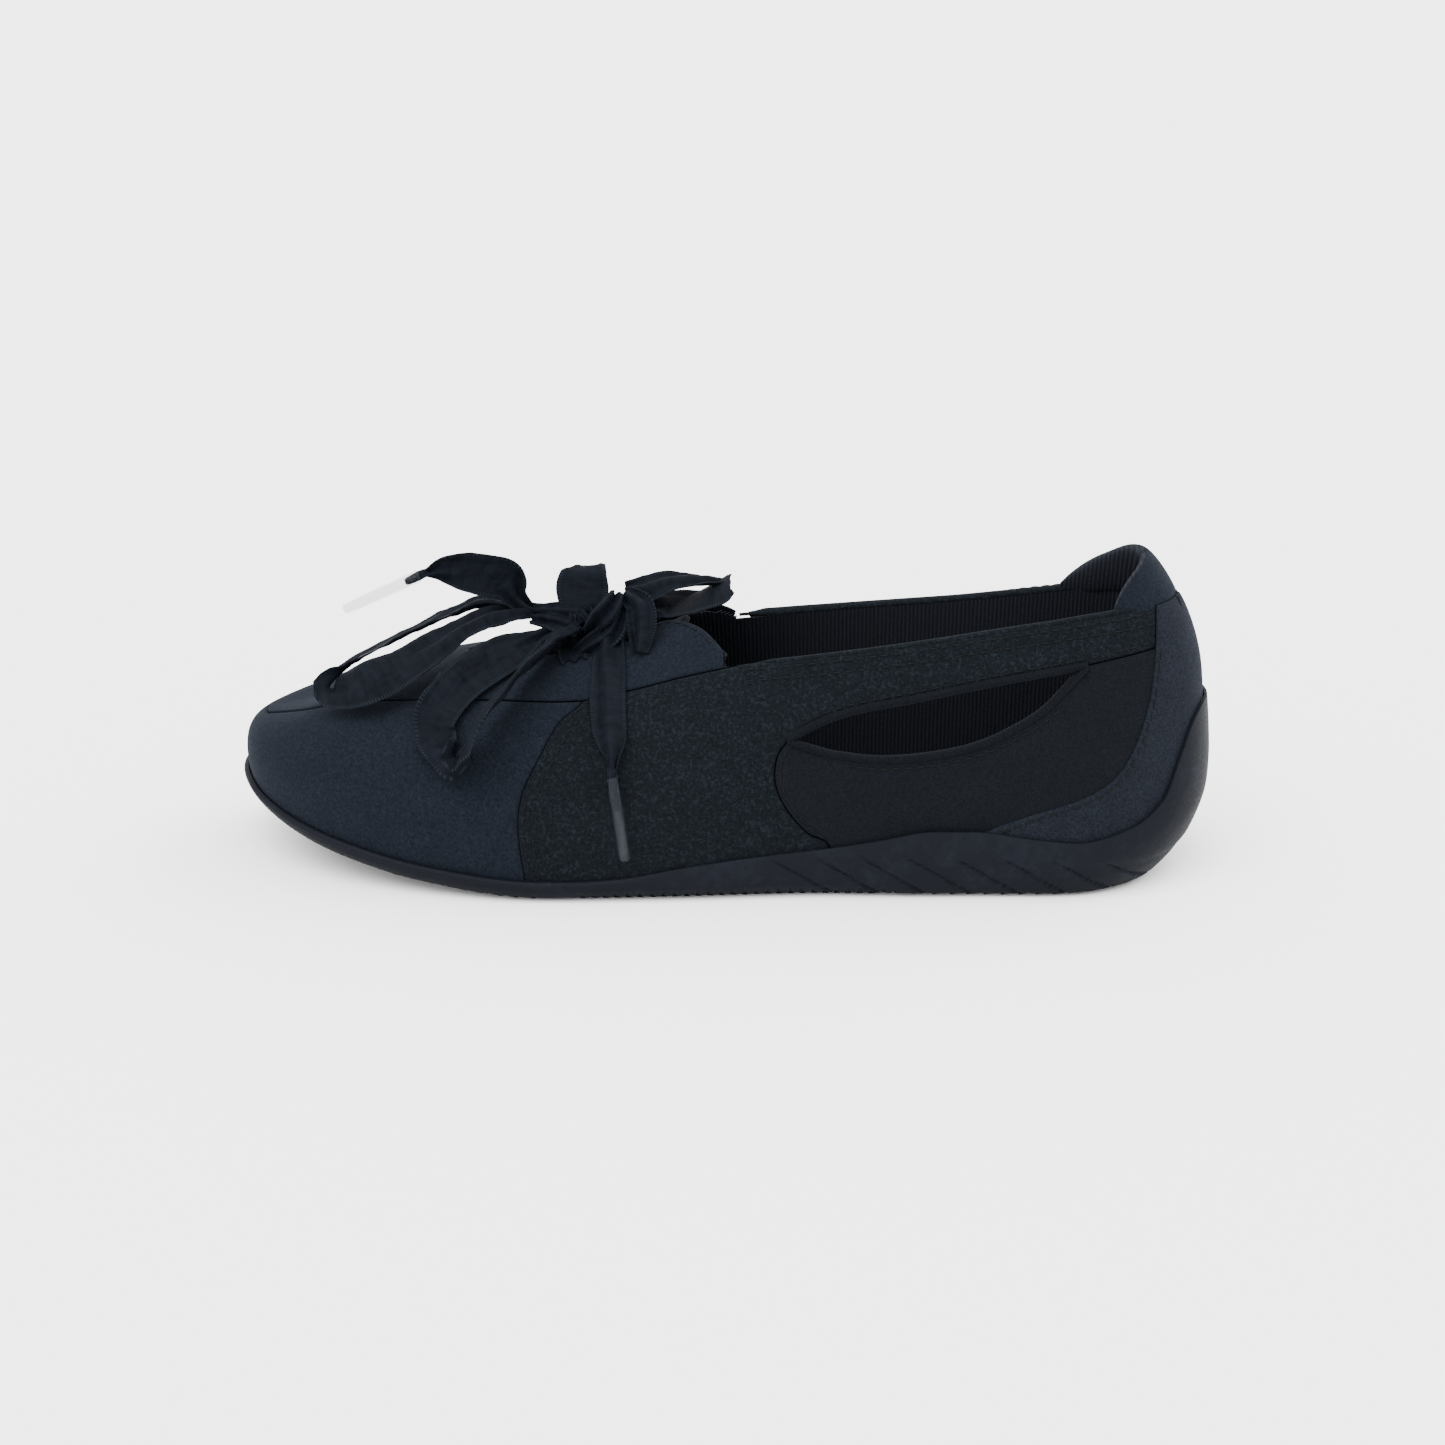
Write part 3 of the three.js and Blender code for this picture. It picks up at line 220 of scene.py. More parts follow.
def curve(pairs, x):
    """Smooth line through pairs with no overshoot."""
    px, py = np.asarray(pairs, float).T
    x = np.clip(np.asarray(x, float), px[0], px[-1])
    step = np.diff(py) / np.diff(px)
    product = step[:-1] * step[1:]
    total = np.where(product > 0, step[:-1] + step[1:], 1)
    slope = np.concatenate([[step[0]], np.where(product > 0, 2 * product / total, 0), [step[-1]]])
    i = np.clip(np.searchsorted(px, x, side="right") - 1, 0, len(px) - 2)
    h = px[i + 1] - px[i]
    f = (x - px[i]) / h
    g = 1 - f
    return ((1 + 2 * f) * g * g * py[i] + f * g * g * h * slope[i]
            + f * f * (3 - 2 * f) * py[i + 1] - f * f * g * h * slope[i + 1])


def between(a, b, c, d, u):
    """A uniform spline that runs from b to c."""
    return 0.5 * (2 * b + (c - a) * u + (2 * a - 5 * b + 4 * c - d) * u * u
                  + (3 * b - a - 3 * c + d) * u ** 3)


def outline_at(t):
    n = len(OUTLINE)
    place = np.mod(t, 1) * n
    i = np.floor(place).astype(int)
    u = (place - i)[..., None]
    a, b, c, d = [OUTLINE[(i + k) % n] for k in (-1, 0, 1, 2)]
    return between(a, b, c, d, u)


def column_at(t):
    s, w = np.moveaxis(outline_at(np.asarray(t, float)), -1, 0)
    spine = SPINE_FRONT + (SPINE_REAR - SPINE_FRONT) * s
    foot = np.stack([along(s), w * HALF_WIDTH], -1)
    inward = np.stack([along(spine), MIDDLE + 0 * s], -1) - foot
    reach = np.linalg.norm(inward, axis=-1)
    inward = inward / reach[..., None]
    slope = tall(curve(RIDGE, spine + 0.01) - curve(RIDGE, spine - 0.01)) / (0.02 * LENGTH)
    return s, foot, inward, reach, slope, tall(curve(FEATHER, s)), tall(curve(RIDGE, spine))


def roll_at(s, z):
    over = tall(curve(ROLL_HEIGHT, s))
    u = np.maximum(0, tall(curve(SPRING, s)) + over - z) / over
    return curve(ROLL, s) * MM * u * u


def face_at(t, h):
    """Outer face of the upper: t turns round the foot from the toe, h climbs from the sole."""
    t, h = np.broadcast_arrays(np.asarray(t, float), np.asarray(h, float))
    s, foot, inward, reach, slope, low, high = column_at(t)
    g = 1 - h
    rising = 3 * g * g * h * curve(LIFT, s) + 3 * g * h * h + h ** 3
    z = low + rising * (high - low)
    z = z - 3 * g * h * h * slope * np.maximum(inward[..., 0], 0) * reach * curve(FLAT, s)
    inset = (-3 * g * g * h * curve(BULGE, s) * MM + 3 * g * h * h * reach * (1 - curve(FLAT, s))
             + h ** 3 * reach)
    plan = foot + inward * (inset + roll_at(s, z))[..., None]
    rear = np.clip((s - 0.8) / 0.2, 0, 1)
    above = np.clip(z - tall(LEAN_FROM), 0, tall(0.45)) / tall(LEAN_OVER)
    x = plan[..., 0] - LEAN * rear * rear * (3 - 2 * rear) * above * above
    return np.stack([x, plan[..., 1], z], -1)


def slopes_at(t, h):
    """How the face runs with t and with h."""
    dt, dh = 2e-4, 2e-3
    low, high = np.clip(h - dh, 0, 1), np.clip(h + dh, 0, 1)
    run_t = (face_at(t + dt, h) - face_at(t - dt, h)) / (2 * dt)
    run_h = (face_at(t, high) - face_at(t, low)) / (high - low)[..., None]
    return run_t, run_h


def normal_at(t, h):
    t, h = np.broadcast_arrays(np.asarray(t, float), np.asarray(h, float))
    run_t, run_h = slopes_at(t, np.minimum(h, 0.995))
    way = np.cross(run_t, run_h)
    way /= np.maximum(np.linalg.norm(way, axis=-1, keepdims=True), 1e-12)
    inward = column_at(t)[2]
    outward = np.concatenate([-inward * (1 - h)[..., None], h[..., None] + 0.05], -1)
    flip = np.sign((way * outward).sum(-1, keepdims=True))
    return way * np.where(flip == 0, 1, flip)


def skin_at(t, h, out):
    return face_at(t, h) + normal_at(t, h) * np.asarray(out)[..., None]


LOOK_T, LOOK_H = [a.ravel() for a in np.meshgrid(np.arange(400) / 400, np.linspace(0, 1, 61), indexing="ij")]
LOOK_P = face_at(LOOK_T, LOOK_H)


def locate(points, axes, span, rounds=14):
    """The t and h of places given in two axes only, within a span of t."""
    points = np.asarray(points, float)
    pick = (LOOK_T >= span[0]) & (LOOK_T <= span[1])
    seen, ts, hs = LOOK_P[pick][:, axes], LOOK_T[pick], LOOK_H[pick]
    near = ((points[:, None] - seen[None]) ** 2).sum(-1).argmin(1)
    q = np.stack([ts[near], hs[near]], -1)
    for _ in range(rounds):
        off = points - face_at(q[:, 0], q[:, 1])[:, axes]
        run_t, run_h = slopes_at(q[:, 0], q[:, 1])
        a, b = run_t[:, axes], run_h[:, axes]
        det = a[:, 0] * b[:, 1] - a[:, 1] * b[:, 0]
        det = np.where(np.abs(det) < 1e-9, 1e-9, det)
        step = np.stack([(off[:, 0] * b[:, 1] - off[:, 1] * b[:, 0]) / det,
                         (a[:, 0] * off[:, 1] - a[:, 1] * off[:, 0]) / det], -1)
        q = q + np.clip(step, [-0.02, -0.06], [0.02, 0.06])
        q[:, 0] = np.clip(q[:, 0], span[0], span[1])
        q[:, 1] = np.clip(q[:, 1], 0, 1)
    miss = np.linalg.norm(points - face_at(q[:, 0], q[:, 1])[:, axes], axis=-1)
    return q, miss


def climb(t, line, top=1.0):
    """h where the face meets a side-view line, for each t; line gives a share of the height at a station."""
    low, high = np.zeros_like(t), np.full_like(t, top)
    for _ in range(40):
        h = (low + high) / 2
        p = face_at(t, h)
        under = p[:, 2] < tall(line(p[:, 0] / LENGTH + 0.5))
        low, high = np.where(under, h, low), np.where(under, high, h)
    return low


def smooth(line, count):
    """Points evenly through a line of pairs, on a uniform spline."""
    p = np.asarray(line, float)
    last = len(p) - 1
    place = np.linspace(0, last, count)
    i = np.minimum(place.astype(int), last - 1)
    u = (place - i)[:, None]
    a, b, c, d = [p[np.clip(i + k, 0, last)] for k in (-1, 0, 1, 2)]
    return between(a, b, c, d, u)


def even(points, pitch, closed=False):
    """The same line with its points an even pitch apart."""
    p = np.asarray(points, float)
    if closed:
        p = np.concatenate([p, p[:1]])
    far = np.concatenate([[0], np.cumsum(np.linalg.norm(np.diff(p, axis=0), axis=1))])
    count = max(2, int(round(far[-1] / pitch)) + 1)
    stops = np.linspace(0, far[-1], count)
    out = np.stack([np.interp(stops, far, p[:, k]) for k in range(p.shape[1])], -1)
    return out[:-1] if closed else out


def side_line(line, pitch=0.8 * MM, count=120):
    """A seam of [station, share] pairs as points in side view, in metres."""
    p = smooth(line, count)
    return even(np.stack([along(p[:, 0]), tall(p[:, 1])], -1), pitch)


def inside(points, polygon):
    """Which points lie inside a closed outline."""
    x, y = points[:, 0], points[:, 1]
    found = np.zeros(len(points), bool)
    ends = np.roll(polygon, -1, axis=0)
    for (x0, y0), (x1, y1) in zip(polygon, ends):
        if y0 == y1:
            continue
        spans = (y0 > y) != (y1 > y)
        found ^= spans & (x < (x1 - x0) * (y - y0) / (y1 - y0) + x0)
    return found


def corner(s, share):
    return np.array([[float(along(s)), float(tall(share))]])


FLOOR_SHARE, SKY = -0.1, 2.5
CUTOUT = np.concatenate([side_line(STRAP_EDGE), side_line(CUTOUT_LOW)])
PANEL = np.concatenate([side_line(PANEL_FRONT), corner(1.1, FLOOR_SHARE), corner(1.1, 0.82),
                        side_line(STRAP_REAR)[::-1], side_line(CUTOUT_LOW)])
QUARTER = np.concatenate([side_line(VAMP_SEAM), corner(1.1, FLOOR_SHARE), corner(1.1, SKY),
                          corner(0.4, SKY)])
ABOVE_COLLAR = np.concatenate([side_line(COLLAR), corner(1.1, 0.893), corner(1.1, SKY),
                               corner(0.515, SKY)])
ABOVE_FAR_COLLAR = np.concatenate([side_line(COLLAR_FAR), corner(1.1, 0.88), corner(1.1, SKY),
                                   corner(0.515, SKY)])
BEHIND = np.concatenate([side_line(OVERLAY_FRONT), corner(1.1, 0.14), corner(1.1, SKY)])


def apron_outline():
    half = smooth([[s, w] for s, w in APRON_HALF], 160)
    x, y = along(half[:, 0]), half[:, 1] * HALF_WIDTH
    near = np.stack([x, MIDDLE - y], -1)[::-1]
    far = np.stack([x, MIDDLE + y], -1)
    return near, far


APRON_NEAR, APRON_FAR = apron_outline()
APRON = np.concatenate([APRON_NEAR, APRON_FAR])


def throat_outline(widen=0.0):
    half = SLIT_HALF + widen
    flare = [[0.38, half], [0.44, half + 0.8 * MM], [0.459, half + 2.2 * MM], [0.486, 13.5 * MM + widen],
             [0.508, 19.5 * MM + widen], [THROAT_REAR, 22.5 * MM + widen]]
    flare = np.array([[float(along(s)), y] for s, y in flare])
    turn = np.pi * (0.5 + np.linspace(0, 1, 15))
    tip = np.stack([float(along(THROAT_FRONT)) + half * np.cos(turn), MIDDLE + half * np.sin(turn)], -1)
    near = smooth(flare, 60) * [1, -1] + [0, MIDDLE]
    flare[3:, 1] = [widen + wide * MM for wide in (11, 14.5, 16.5)]
    far = (smooth(flare, 60) + [0, MIDDLE])[::-1]
    return np.concatenate([tip, near, far])


# ---------- meshes ----------
def make_mesh(name, points, faces, sharp=40, uv=None):
    mesh = bpy.data.meshes.new(name)
    mesh.from_pydata([tuple(map(float, p)) for p in points], [], [tuple(map(int, f)) for f in faces])
    mesh.update()
    mesh.shade_smooth()
    mesh.set_sharp_from_angle(angle=math.radians(sharp))
    if uv is not None:
        layer = mesh.uv_layers.new(name="length_and_width")
        loops = np.empty(len(mesh.loops), int)
        mesh.loops.foreach_get("vertex_index", loops)
        layer.data.foreach_set("uv", np.asarray(uv, np.float32)[loops].ravel())
    piece = bpy.data.objects.new(name, mesh)
    scene.collection.objects.link(piece)
    return piece


def outer_loops(faces):
    """The open edges of a set of triangles, in their winding."""
    seen = {}
    for a, b, c in faces:
        for e in ((a, b), (b, c), (c, a)):
            seen[e] = seen.get(e, 0) + 1
    return [e for e in seen if (e[1], e[0]) not in seen]


def spread(lines, inside_of, low, high, pitch, rows):
    """Triangles over a flat region that keep to seam lines, with fine rows beside every line."""
    points, edges = [], []
    for line, closed in lines:
        base = len(points)
        points += [tuple(p) for p in line]
        edges += [(base + i, base + i + 1) for i in range(len(line) - 1)]
        if closed:
            edges.append((base + len(line) - 1, base))
    seams = np.array(points)
    extra = []
    for line, closed in lines:
        run = np.asarray(line)
        way = np.roll(run, -1, 0) - np.roll(run, 1, 0) if closed else np.gradient(run, axis=0)
        way /= np.maximum(np.linalg.norm(way, axis=1, keepdims=True), 1e-12)
        across = np.stack([-way[:, 1], way[:, 0]], -1)
        for far in rows:
            for side in (-1, 1):
                extra.append((run + across * side * far, far))
    steps_x, steps_y = np.arange(low[0], high[0], pitch), np.arange(low[1], high[1], pitch * 0.866)
    x, y = np.meshgrid(steps_x, steps_y, indexing="ij")
    x = x + (np.arange(x.shape[1]) % 2) * pitch / 2
    extra.append((np.stack([x.ravel(), y.ravel()], -1), max(rows) + pitch * 0.45))
    tree = KDTree(len(seams))
    for k, p in enumerate(seams):
        tree.insert((p[0], p[1], 0), k)
    tree.balance()
    for block, far in extra:
        block = block[inside_of(block)]
        points += [tuple(p) for p in block if tree.find((p[0], p[1], 0))[2] > far * 0.93]
    verts, _, faces, *_ = geometry.delaunay_2d_cdt([Vector(p) for p in points], edges, [], 0, 1e-9)
    flat = np.array([tuple(v) for v in verts])
    faces = np.array([tuple(f) for f in faces if len(f) == 3])
    a, b, c = flat[faces[:, 0]], flat[faces[:, 1]], flat[faces[:, 2]]
    area = (b[:, 0] - a[:, 0]) * (c[:, 1] - a[:, 1]) - (b[:, 1] - a[:, 1]) * (c[:, 0] - a[:, 0])
    faces = np.where((area < 0)[:, None], faces[:, [0, 2, 1]], faces)
    return flat, faces[np.abs(area) > 1e-13]


# The side panels are laid out on a flat map: metres round the foot against metres up it.
AROUND, UP = 0.62, 0.08
TO_MAP = np.array([AROUND, UP])


def lay_out_sides():
    lines = []
    edge_t = np.linspace(0, AROUND, 776)
    for u in (0, AROUND):
        climb = np.linspace(0, UP, 90)
        lines.append((np.stack([np.full(90, u), climb], -1), False))
    lines.append((np.stack([edge_t[1:-1], 0 * edge_t[1:-1]], -1), False))
    for span in ((0.0, 0.5), (0.5, 1.0)):
        rim = COLLAR if span[0] == 0 else COLLAR_FAR
        for seam in (VAMP_SEAM, PANEL_FRONT, STRAP_EDGE, CUTOUT_LOW, STRAP_REAR, rim, OVERLAY_FRONT):
            line = side_line(seam)
            q, miss = locate(line, [0, 2], span)
            good = ((miss < 0.05 * MM) & (q[:, 1] > 0.004) & (q[:, 0] > span[0] + 1e-4)
                    & (q[:, 0] < span[1] - 1e-4))
            if good.sum() > 2:
                lines.append((q[good] * TO_MAP, False))
        plan = APRON_NEAR[::-1] if span[0] == 0 else APRON_FAR
        plan = even(plan, 0.8 * MM)
        q, miss = locate(plan, [0, 1], span)
        good = (miss < 0.05 * MM) & (q[:, 0] > span[0] + 1e-4) & (q[:, 0] < span[1] - 1e-4)
        lines.append((q[good] * TO_MAP, False))
    everywhere = lambda p: ((p[:, 0] > 0.4 * MM) & (p[:, 0] < AROUND - 0.4 * MM) & (p[:, 1] > 0.3 * MM)
                            & (p[:, 1] < UP * 0.985))
    flat, faces = spread(lines, everywhere, (0, 0), (AROUND, UP), 1.7 * MM, [0.35 * MM, 0.9 * MM])
    q = flat / TO_MAP
    inside_map = (q[:, 0] > -1e-6) & (q[:, 0] < 1 + 1e-6)
    return np.clip(q, 0, 1), faces[inside_map[faces].all(1)]


MAP_Q, MAP_FACES = lay_out_sides()
MAP_P = face_at(MAP_Q[:, 0], MAP_Q[:, 1])
MAP_N = normal_at(MAP_Q[:, 0], MAP_Q[:, 1])
MID_Q = MAP_Q[MAP_FACES].mean(1)
MID_P = face_at(MID_Q[:, 0], MID_Q[:, 1])
MID_SIDE, MID_PLAN = MID_P[:, [0, 2]], MID_P[:, :2]
ON_TOP = inside(MID_PLAN, APRON) & (MID_P[:, 2] > tall(0.3))
OVER = np.where(MID_Q[:, 0] < 0.5, inside(MID_SIDE, ABOVE_COLLAR), inside(MID_SIDE, ABOVE_FAR_COLLAR))
IN_HOLE, IN_PANEL, IN_QUARTER = inside(MID_SIDE, CUTOUT), inside(MID_SIDE, PANEL), inside(MID_SIDE, QUARTER)
LATERAL = MID_Q[:, 0] < 0.5


def weld(points, faces, close=2e-7):
    """Joins points that fall on one another and drops what collapses."""
    keys = np.round(points / max(close, 1e-9)).astype(np.int64)
    _, first, back = np.unique(keys, axis=0, return_index=True, return_inverse=True)
    faces = back.reshape(-1)[faces]
    keep = (faces[:, 0] != faces[:, 1]) & (faces[:, 1] != faces[:, 2]) & (faces[:, 0] != faces[:, 2])
    return first, faces[keep]


def thicken(name, points, normals, faces, out, thick, rim=0.5 * MM, gap=0.2 * MM, dome=None):
    """A closed panel from triangles on the face: rounded outer rim, straight wall, plain inside."""
    first, faces = weld(points, faces)
    points, normals = points[first], normals[first]
    used = np.unique(faces)
    renumber = np.zeros(len(points), int)
    renumber[used] = np.arange(len(used))
    points, normals, faces = points[used], normals[used], renumber[faces]
    rims = outer_loops(faces)
    on_rim = np.unique(np.array(rims).ravel())
    tree = KDTree(len(on_rim))
    for k in on_rim:
        tree.insert(points[k], int(k))
    tree.balance()
    far = np.array([tree.find(p)[2] for p in points])
    pull = np.zeros_like(points)
    for a, b in rims:
        run = points[b] - points[a]
        aside = np.cross(normals[a] + normals[b], run)
        aside /= max(np.linalg.norm(aside), 1e-12)
        pull[a] += aside
        pull[b] += aside
    length = np.linalg.norm(pull, axis=1)
    rim_move = np.where(length > 0.2, gap, 0)[:, None] * pull / np.maximum(length, 1e-9)[:, None]
    first_face = points[faces[:, 1]] - points[faces[:, 0]], points[faces[:, 2]] - points[faces[:, 0]]
    turned = np.sign((np.cross(*first_face) * normals[faces[:, 0]]).sum())
    u = np.clip(1 - far / (rim * 1.9), 0, 1)
    drop = rim * (1 - np.sqrt(np.maximum(0, 1 - u * u)))
    outer = points + rim_move * turned + normals * (out - drop)[:, None]
    inner = points + normals * (out - thick)
    if dome is not None:
        outer = outer + normals * dome(points, far)[:, None]
    n = len(points)
    all_faces = [tuple(f) for f in faces] + [(a + n, c + n, b + n) for a, b, c in faces]
    for a, b in rims:
        all_faces.append((b, a, a + n, b + n))
    return make_mesh(name, np.concatenate([outer, inner]), all_faces, sharp=55)


def from_map(name, pick, out, thick, **how):
    faces = MAP_FACES[pick]
    return thicken(name, MAP_P, MAP_N, faces, out, thick, **how)


# ---------- finishes ----------
def tone(r, g, b):
    """A colour given in 0-255 as light values."""
    return tuple((v / 255 / 12.92 if v < 10.3 else ((v / 255 + 0.055) / 1.055) ** 2.4)
                 for v in (r, g, b)) + (1.0,)


class Finish:
    """A material with one shader, and short ways to add its grain."""

    def __init__(self, name, colour, rough, **sockets):
        self.material = bpy.data.materials.new(name)
        self.material.use_nodes = True
        self.tree = self.material.node_tree
        self.shader = self.tree.nodes["Principled BSDF"]
        self.set("Base Color", colour)
        self.set("Roughness", rough)
        for socket, value in sockets.items():
            self.set(socket.replace("_", " "), value)
        self.place = self.add("ShaderNodeTexCoord").outputs["Object"]

    def set(self, socket, value):
        self.shader.inputs[socket].default_value = value

    def add(self, kind, **settings):
        node = self.tree.nodes.new(kind)
        for key, value in settings.items():
            setattr(node, key, value)
        return node

    def link(self, source, target):
        self.tree.links.new(source, target)

    def noise(self, pitch, detail=3.0, rough=0.55, stretch=None, place=None):
        """Noise whose lumps are about pitch metres across."""
        node = self.add("ShaderNodeTexNoise")
        node.inputs["Scale"].default_value = 1 / pitch
        node.inputs["Detail"].default_value = detail
        node.inputs["Roughness"].default_value = rough
        source = place or self.place
        if stretch:
            turn = self.add("ShaderNodeMapping")
            turn.inputs["Scale"].default_value = stretch
            self.link(source, turn.inputs["Vector"])
            source = turn.outputs["Vector"]
        self.link(source, node.inputs["Vector"])
        return node.outputs["Fac"]

    def ranged(self, source, low, high, to_low=0.0, to_high=1.0):
        node = self.add("ShaderNodeMapRange")
        node.inputs["From Min"].default_value = low
        node.inputs["From Max"].default_value = high
        node.inputs["To Min"].default_value = to_low
        node.inputs["To Max"].default_value = to_high
        self.link(source, node.inputs["Value"])
        return node.outputs["Result"]

    def maths(self, kind, a, b):
        node = self.add("ShaderNodeMath", operation=kind)
        for socket, value in zip(node.inputs, (a, b)):
            if isinstance(value, (int, float)):
                socket.default_value = value
            else:
                self.link(value, socket)
        return node.outputs[0]

    def mix(self, share, a, b):
        """A colour between a and b; each is a colour or a socket."""
        node = self.add("ShaderNodeMix", data_type="RGBA")
        self.link(share, node.inputs["Factor"])
        ends = [s for s in node.inputs if s.type == "RGBA"]
        for socket, value in zip(ends, (a, b)):
            if isinstance(value, tuple):
                socket.default_value = value
            else:
                self.link(value, socket)
        return [s for s in node.outputs if s.type == "RGBA"][0]

    def colour(self, source):
        self.link(source, self.shader.inputs["Base Color"])

    def rough(self, source):
        self.link(source, self.shader.inputs["Roughness"])

    def bump(self, source, depth, strength=1.0):
        node = self.add("ShaderNodeBump")
        node.inputs["Strength"].default_value = strength
        node.inputs["Distance"].default_value = depth
        self.link(source, node.inputs["Height"])
        if self.shader.inputs["Normal"].links:
            self.link(self.shader.inputs["Normal"].links[0].from_socket, node.inputs["Normal"])
        self.link(node.outputs["Normal"], self.shader.inputs["Normal"])


def brushed_suede(name, dark, light, speckle=0.25, fine=0.9 * MM, patch=9 * MM):
    """Brushed suede: short nap, small lighter flecks and slow brushing marks."""
    f = Finish(name, light, 0.94, Sheen_Weight=0.03, Sheen_Roughness=0.5, Sheen_Tint=tone(150, 165, 190),
               Specular_IOR_Level=0.04)
    nap = f.noise(fine, 4, 0.65)
    fleck = f.noise(fine * 1.7, 2, 0.5)
    marks = f.noise(patch, 3, 0.6)
    share = f.maths("ADD", f.ranged(nap, 0.35, 0.65, 0, 1 - speckle), f.ranged(fleck, 0.52, 0.66, 0, speckle))
    worn = f.maths("MULTIPLY", share, f.ranged(marks, 0.3, 0.7, 0.75, 1.2))
    f.colour(f.mix(worn, dark, light))
    f.rough(f.ranged(nap, 0.3, 0.7, 0.98, 0.86))
    f.bump(marks, 0.25 * MM, 0.5)
    f.bump(nap, 0.16 * MM, 0.8)
    return f.material


def knit_lining(name, dark, light):
    """Fine ribbed knit that lines the quarters."""
    f = Finish(name, light, 0.9, Sheen_Weight=0.03, Sheen_Roughness=0.5, Sheen_Tint=tone(140, 150, 170),
               Specular_IOR_Level=0.04)
    wave = f.add("ShaderNodeTexWave", wave_type="BANDS", bands_direction="X", wave_profile="SIN")
    wave.inputs["Scale"].default_value = 1 / (1.1 * MM) / 6.2832 * 2
    wave.inputs["Distortion"].default_value = 0.6
    wave.inputs["Detail"].default_value = 1
    f.link(f.place, wave.inputs["Vector"])
    rib = wave.outputs["Fac"]
    cloth = f.noise(0.5 * MM, 2)
    f.colour(f.mix(f.maths("MULTIPLY", rib, f.ranged(cloth, 0.3, 0.7, 0.6, 1)), dark, light))
    f.bump(rib, 0.2 * MM, 0.8)
    f.bump(cloth, 0.08 * MM, 0.5)
    return f.material


def moulded_rubber(name):
    """Smooth moulded rubber with a fine mould grain, paler where it rubs."""
    f = Finish(name, tone(10, 11, 15), 0.55, Specular_IOR_Level=0.045)
    grain = f.noise(0.7 * MM, 3, 0.6)
    scuff = f.noise(14 * MM, 5, 0.7)
    dust = f.noise(3 * MM, 4, 0.7)
    rub = f.maths("MULTIPLY", f.ranged(scuff, 0.45, 0.7), f.ranged(dust, 0.4, 0.75))
    f.colour(f.mix(rub, tone(11, 13, 18), tone(20, 23, 30)))
    f.rough(f.ranged(grain, 0.3, 0.7, 0.5, 0.68))
    f.bump(grain, 0.06 * MM, 0.5)
    return f.material


def satin_ribbon(name):
    """Satin ribbon: plain sheen in the middle, ribbed woven edges. The map runs in metres."""
    f = Finish(name, tone(6, 7, 9), 0.5, Sheen_Weight=0.02, Sheen_Roughness=0.35,
               Sheen_Tint=tone(160, 170, 190), Specular_IOR_Level=0.02)
    uv = f.add("ShaderNodeUVMap", uv_map="length_and_width").outputs["UV"]
    parts = f.add("ShaderNodeSeparateXYZ")
    f.link(uv, parts.inputs[0])
    across, length = parts.outputs[0], parts.outputs[1]
    from_middle = f.maths("ABSOLUTE", f.maths("SUBTRACT", across, RIBBON_WIDTH / 2), 0)
    edge = f.ranged(from_middle, 0.40 * RIBBON_WIDTH, 0.425 * RIBBON_WIDTH)
    tick = f.ranged(f.maths("SINE", f.maths("MULTIPLY", length, 6.2832 / (0.72 * MM)), 0), -0.4, 0.6)
    ribs = f.maths("MULTIPLY", edge, tick)
    weave = f.noise(0.35 * MM, 2, 0.5, place=uv, stretch=(1.0, 0.25, 1.0))
    slubs = f.noise(2.5 * MM, 3, 0.6, place=uv, stretch=(0.35, 1.0, 1.0))
    plain = f.mix(f.ranged(slubs, 0.35, 0.7), tone(8, 10, 14), tone(14, 17, 23))
    f.colour(f.mix(f.maths("MULTIPLY", ribs, 0.6), plain, tone(24, 28, 34)))
    f.rough(f.ranged(slubs, 0.3, 0.7, 0.5, 0.68))
    f.bump(weave, 0.05 * MM, 0.5)
    f.bump(ribs, 0.12 * MM, 0.8)
    return f.material


def plain_finish(name, dark, light, rough, pitch, depth, **sockets):
    f = Finish(name, light, rough, **sockets)
    grain = f.noise(pitch, 4, 0.6)
    f.colour(f.mix(f.ranged(grain, 0.3, 0.7), dark, light))
    f.bump(grain, depth, 0.6)
    return f.material


SUEDE = brushed_suede("brushed_suede", tone(9, 12, 17), tone(18, 22, 29), fine=0.7 * MM)
QUARTER_SUEDE = brushed_suede("mottled_suede", tone(5, 7, 9), tone(18, 22, 27), speckle=0.55, fine=0.55 * MM)
PANEL_SUEDE = brushed_suede("smooth_suede", tone(7, 9, 12), tone(13, 15, 19), speckle=0.15, fine=0.6 * MM)
EDGE_SUEDE = brushed_suede("edge_suede", tone(6, 7, 9), tone(11, 13, 16), speckle=0.1, fine=0.6 * MM)
OVERLAY_SUEDE = brushed_suede("heel_suede", tone(11, 13, 18), tone(22, 25, 31), speckle=0.15, fine=0.6 * MM)
KNIT = knit_lining("ribbed_lining", tone(16, 17, 21), tone(28, 30, 36))
# Near-black finish for the wall faces along the panels' cut edges: painted shade that darkens the seam gaps between
# panels.
PAINTED_SEAM_SHADE = plain_finish("painted_seam_shade", tone(1, 1, 2), tone(2, 2, 3), 0.95, 0.5 * MM, 0.05 * MM,
                        Specular_IOR_Level=0.02)
RUBBER = moulded_rubber("sole_rubber")
RIBBON = satin_ribbon("satin_ribbon")
THREAD = plain_finish("sewing_thread", tone(2, 3, 4), tone(6, 7, 9), 0.7, 0.3 * MM, 0.05 * MM,
                      Specular_IOR_Level=0.1)
FOOTBED = plain_finish("footbed_cloth", tone(7, 7, 9), tone(13, 13, 16), 0.92, 0.6 * MM, 0.1 * MM,
                       Sheen_Weight=0.03, Specular_IOR_Level=0.04)
BOARD = plain_finish("fibre_board", tone(84, 72, 58), tone(112, 98, 80), 0.85, 0.8 * MM, 0.05 * MM)
STIFF = plain_finish("stiffener_cloth", tone(120, 112, 98), tone(150, 142, 126), 0.85, 0.7 * MM, 0.06 * MM)


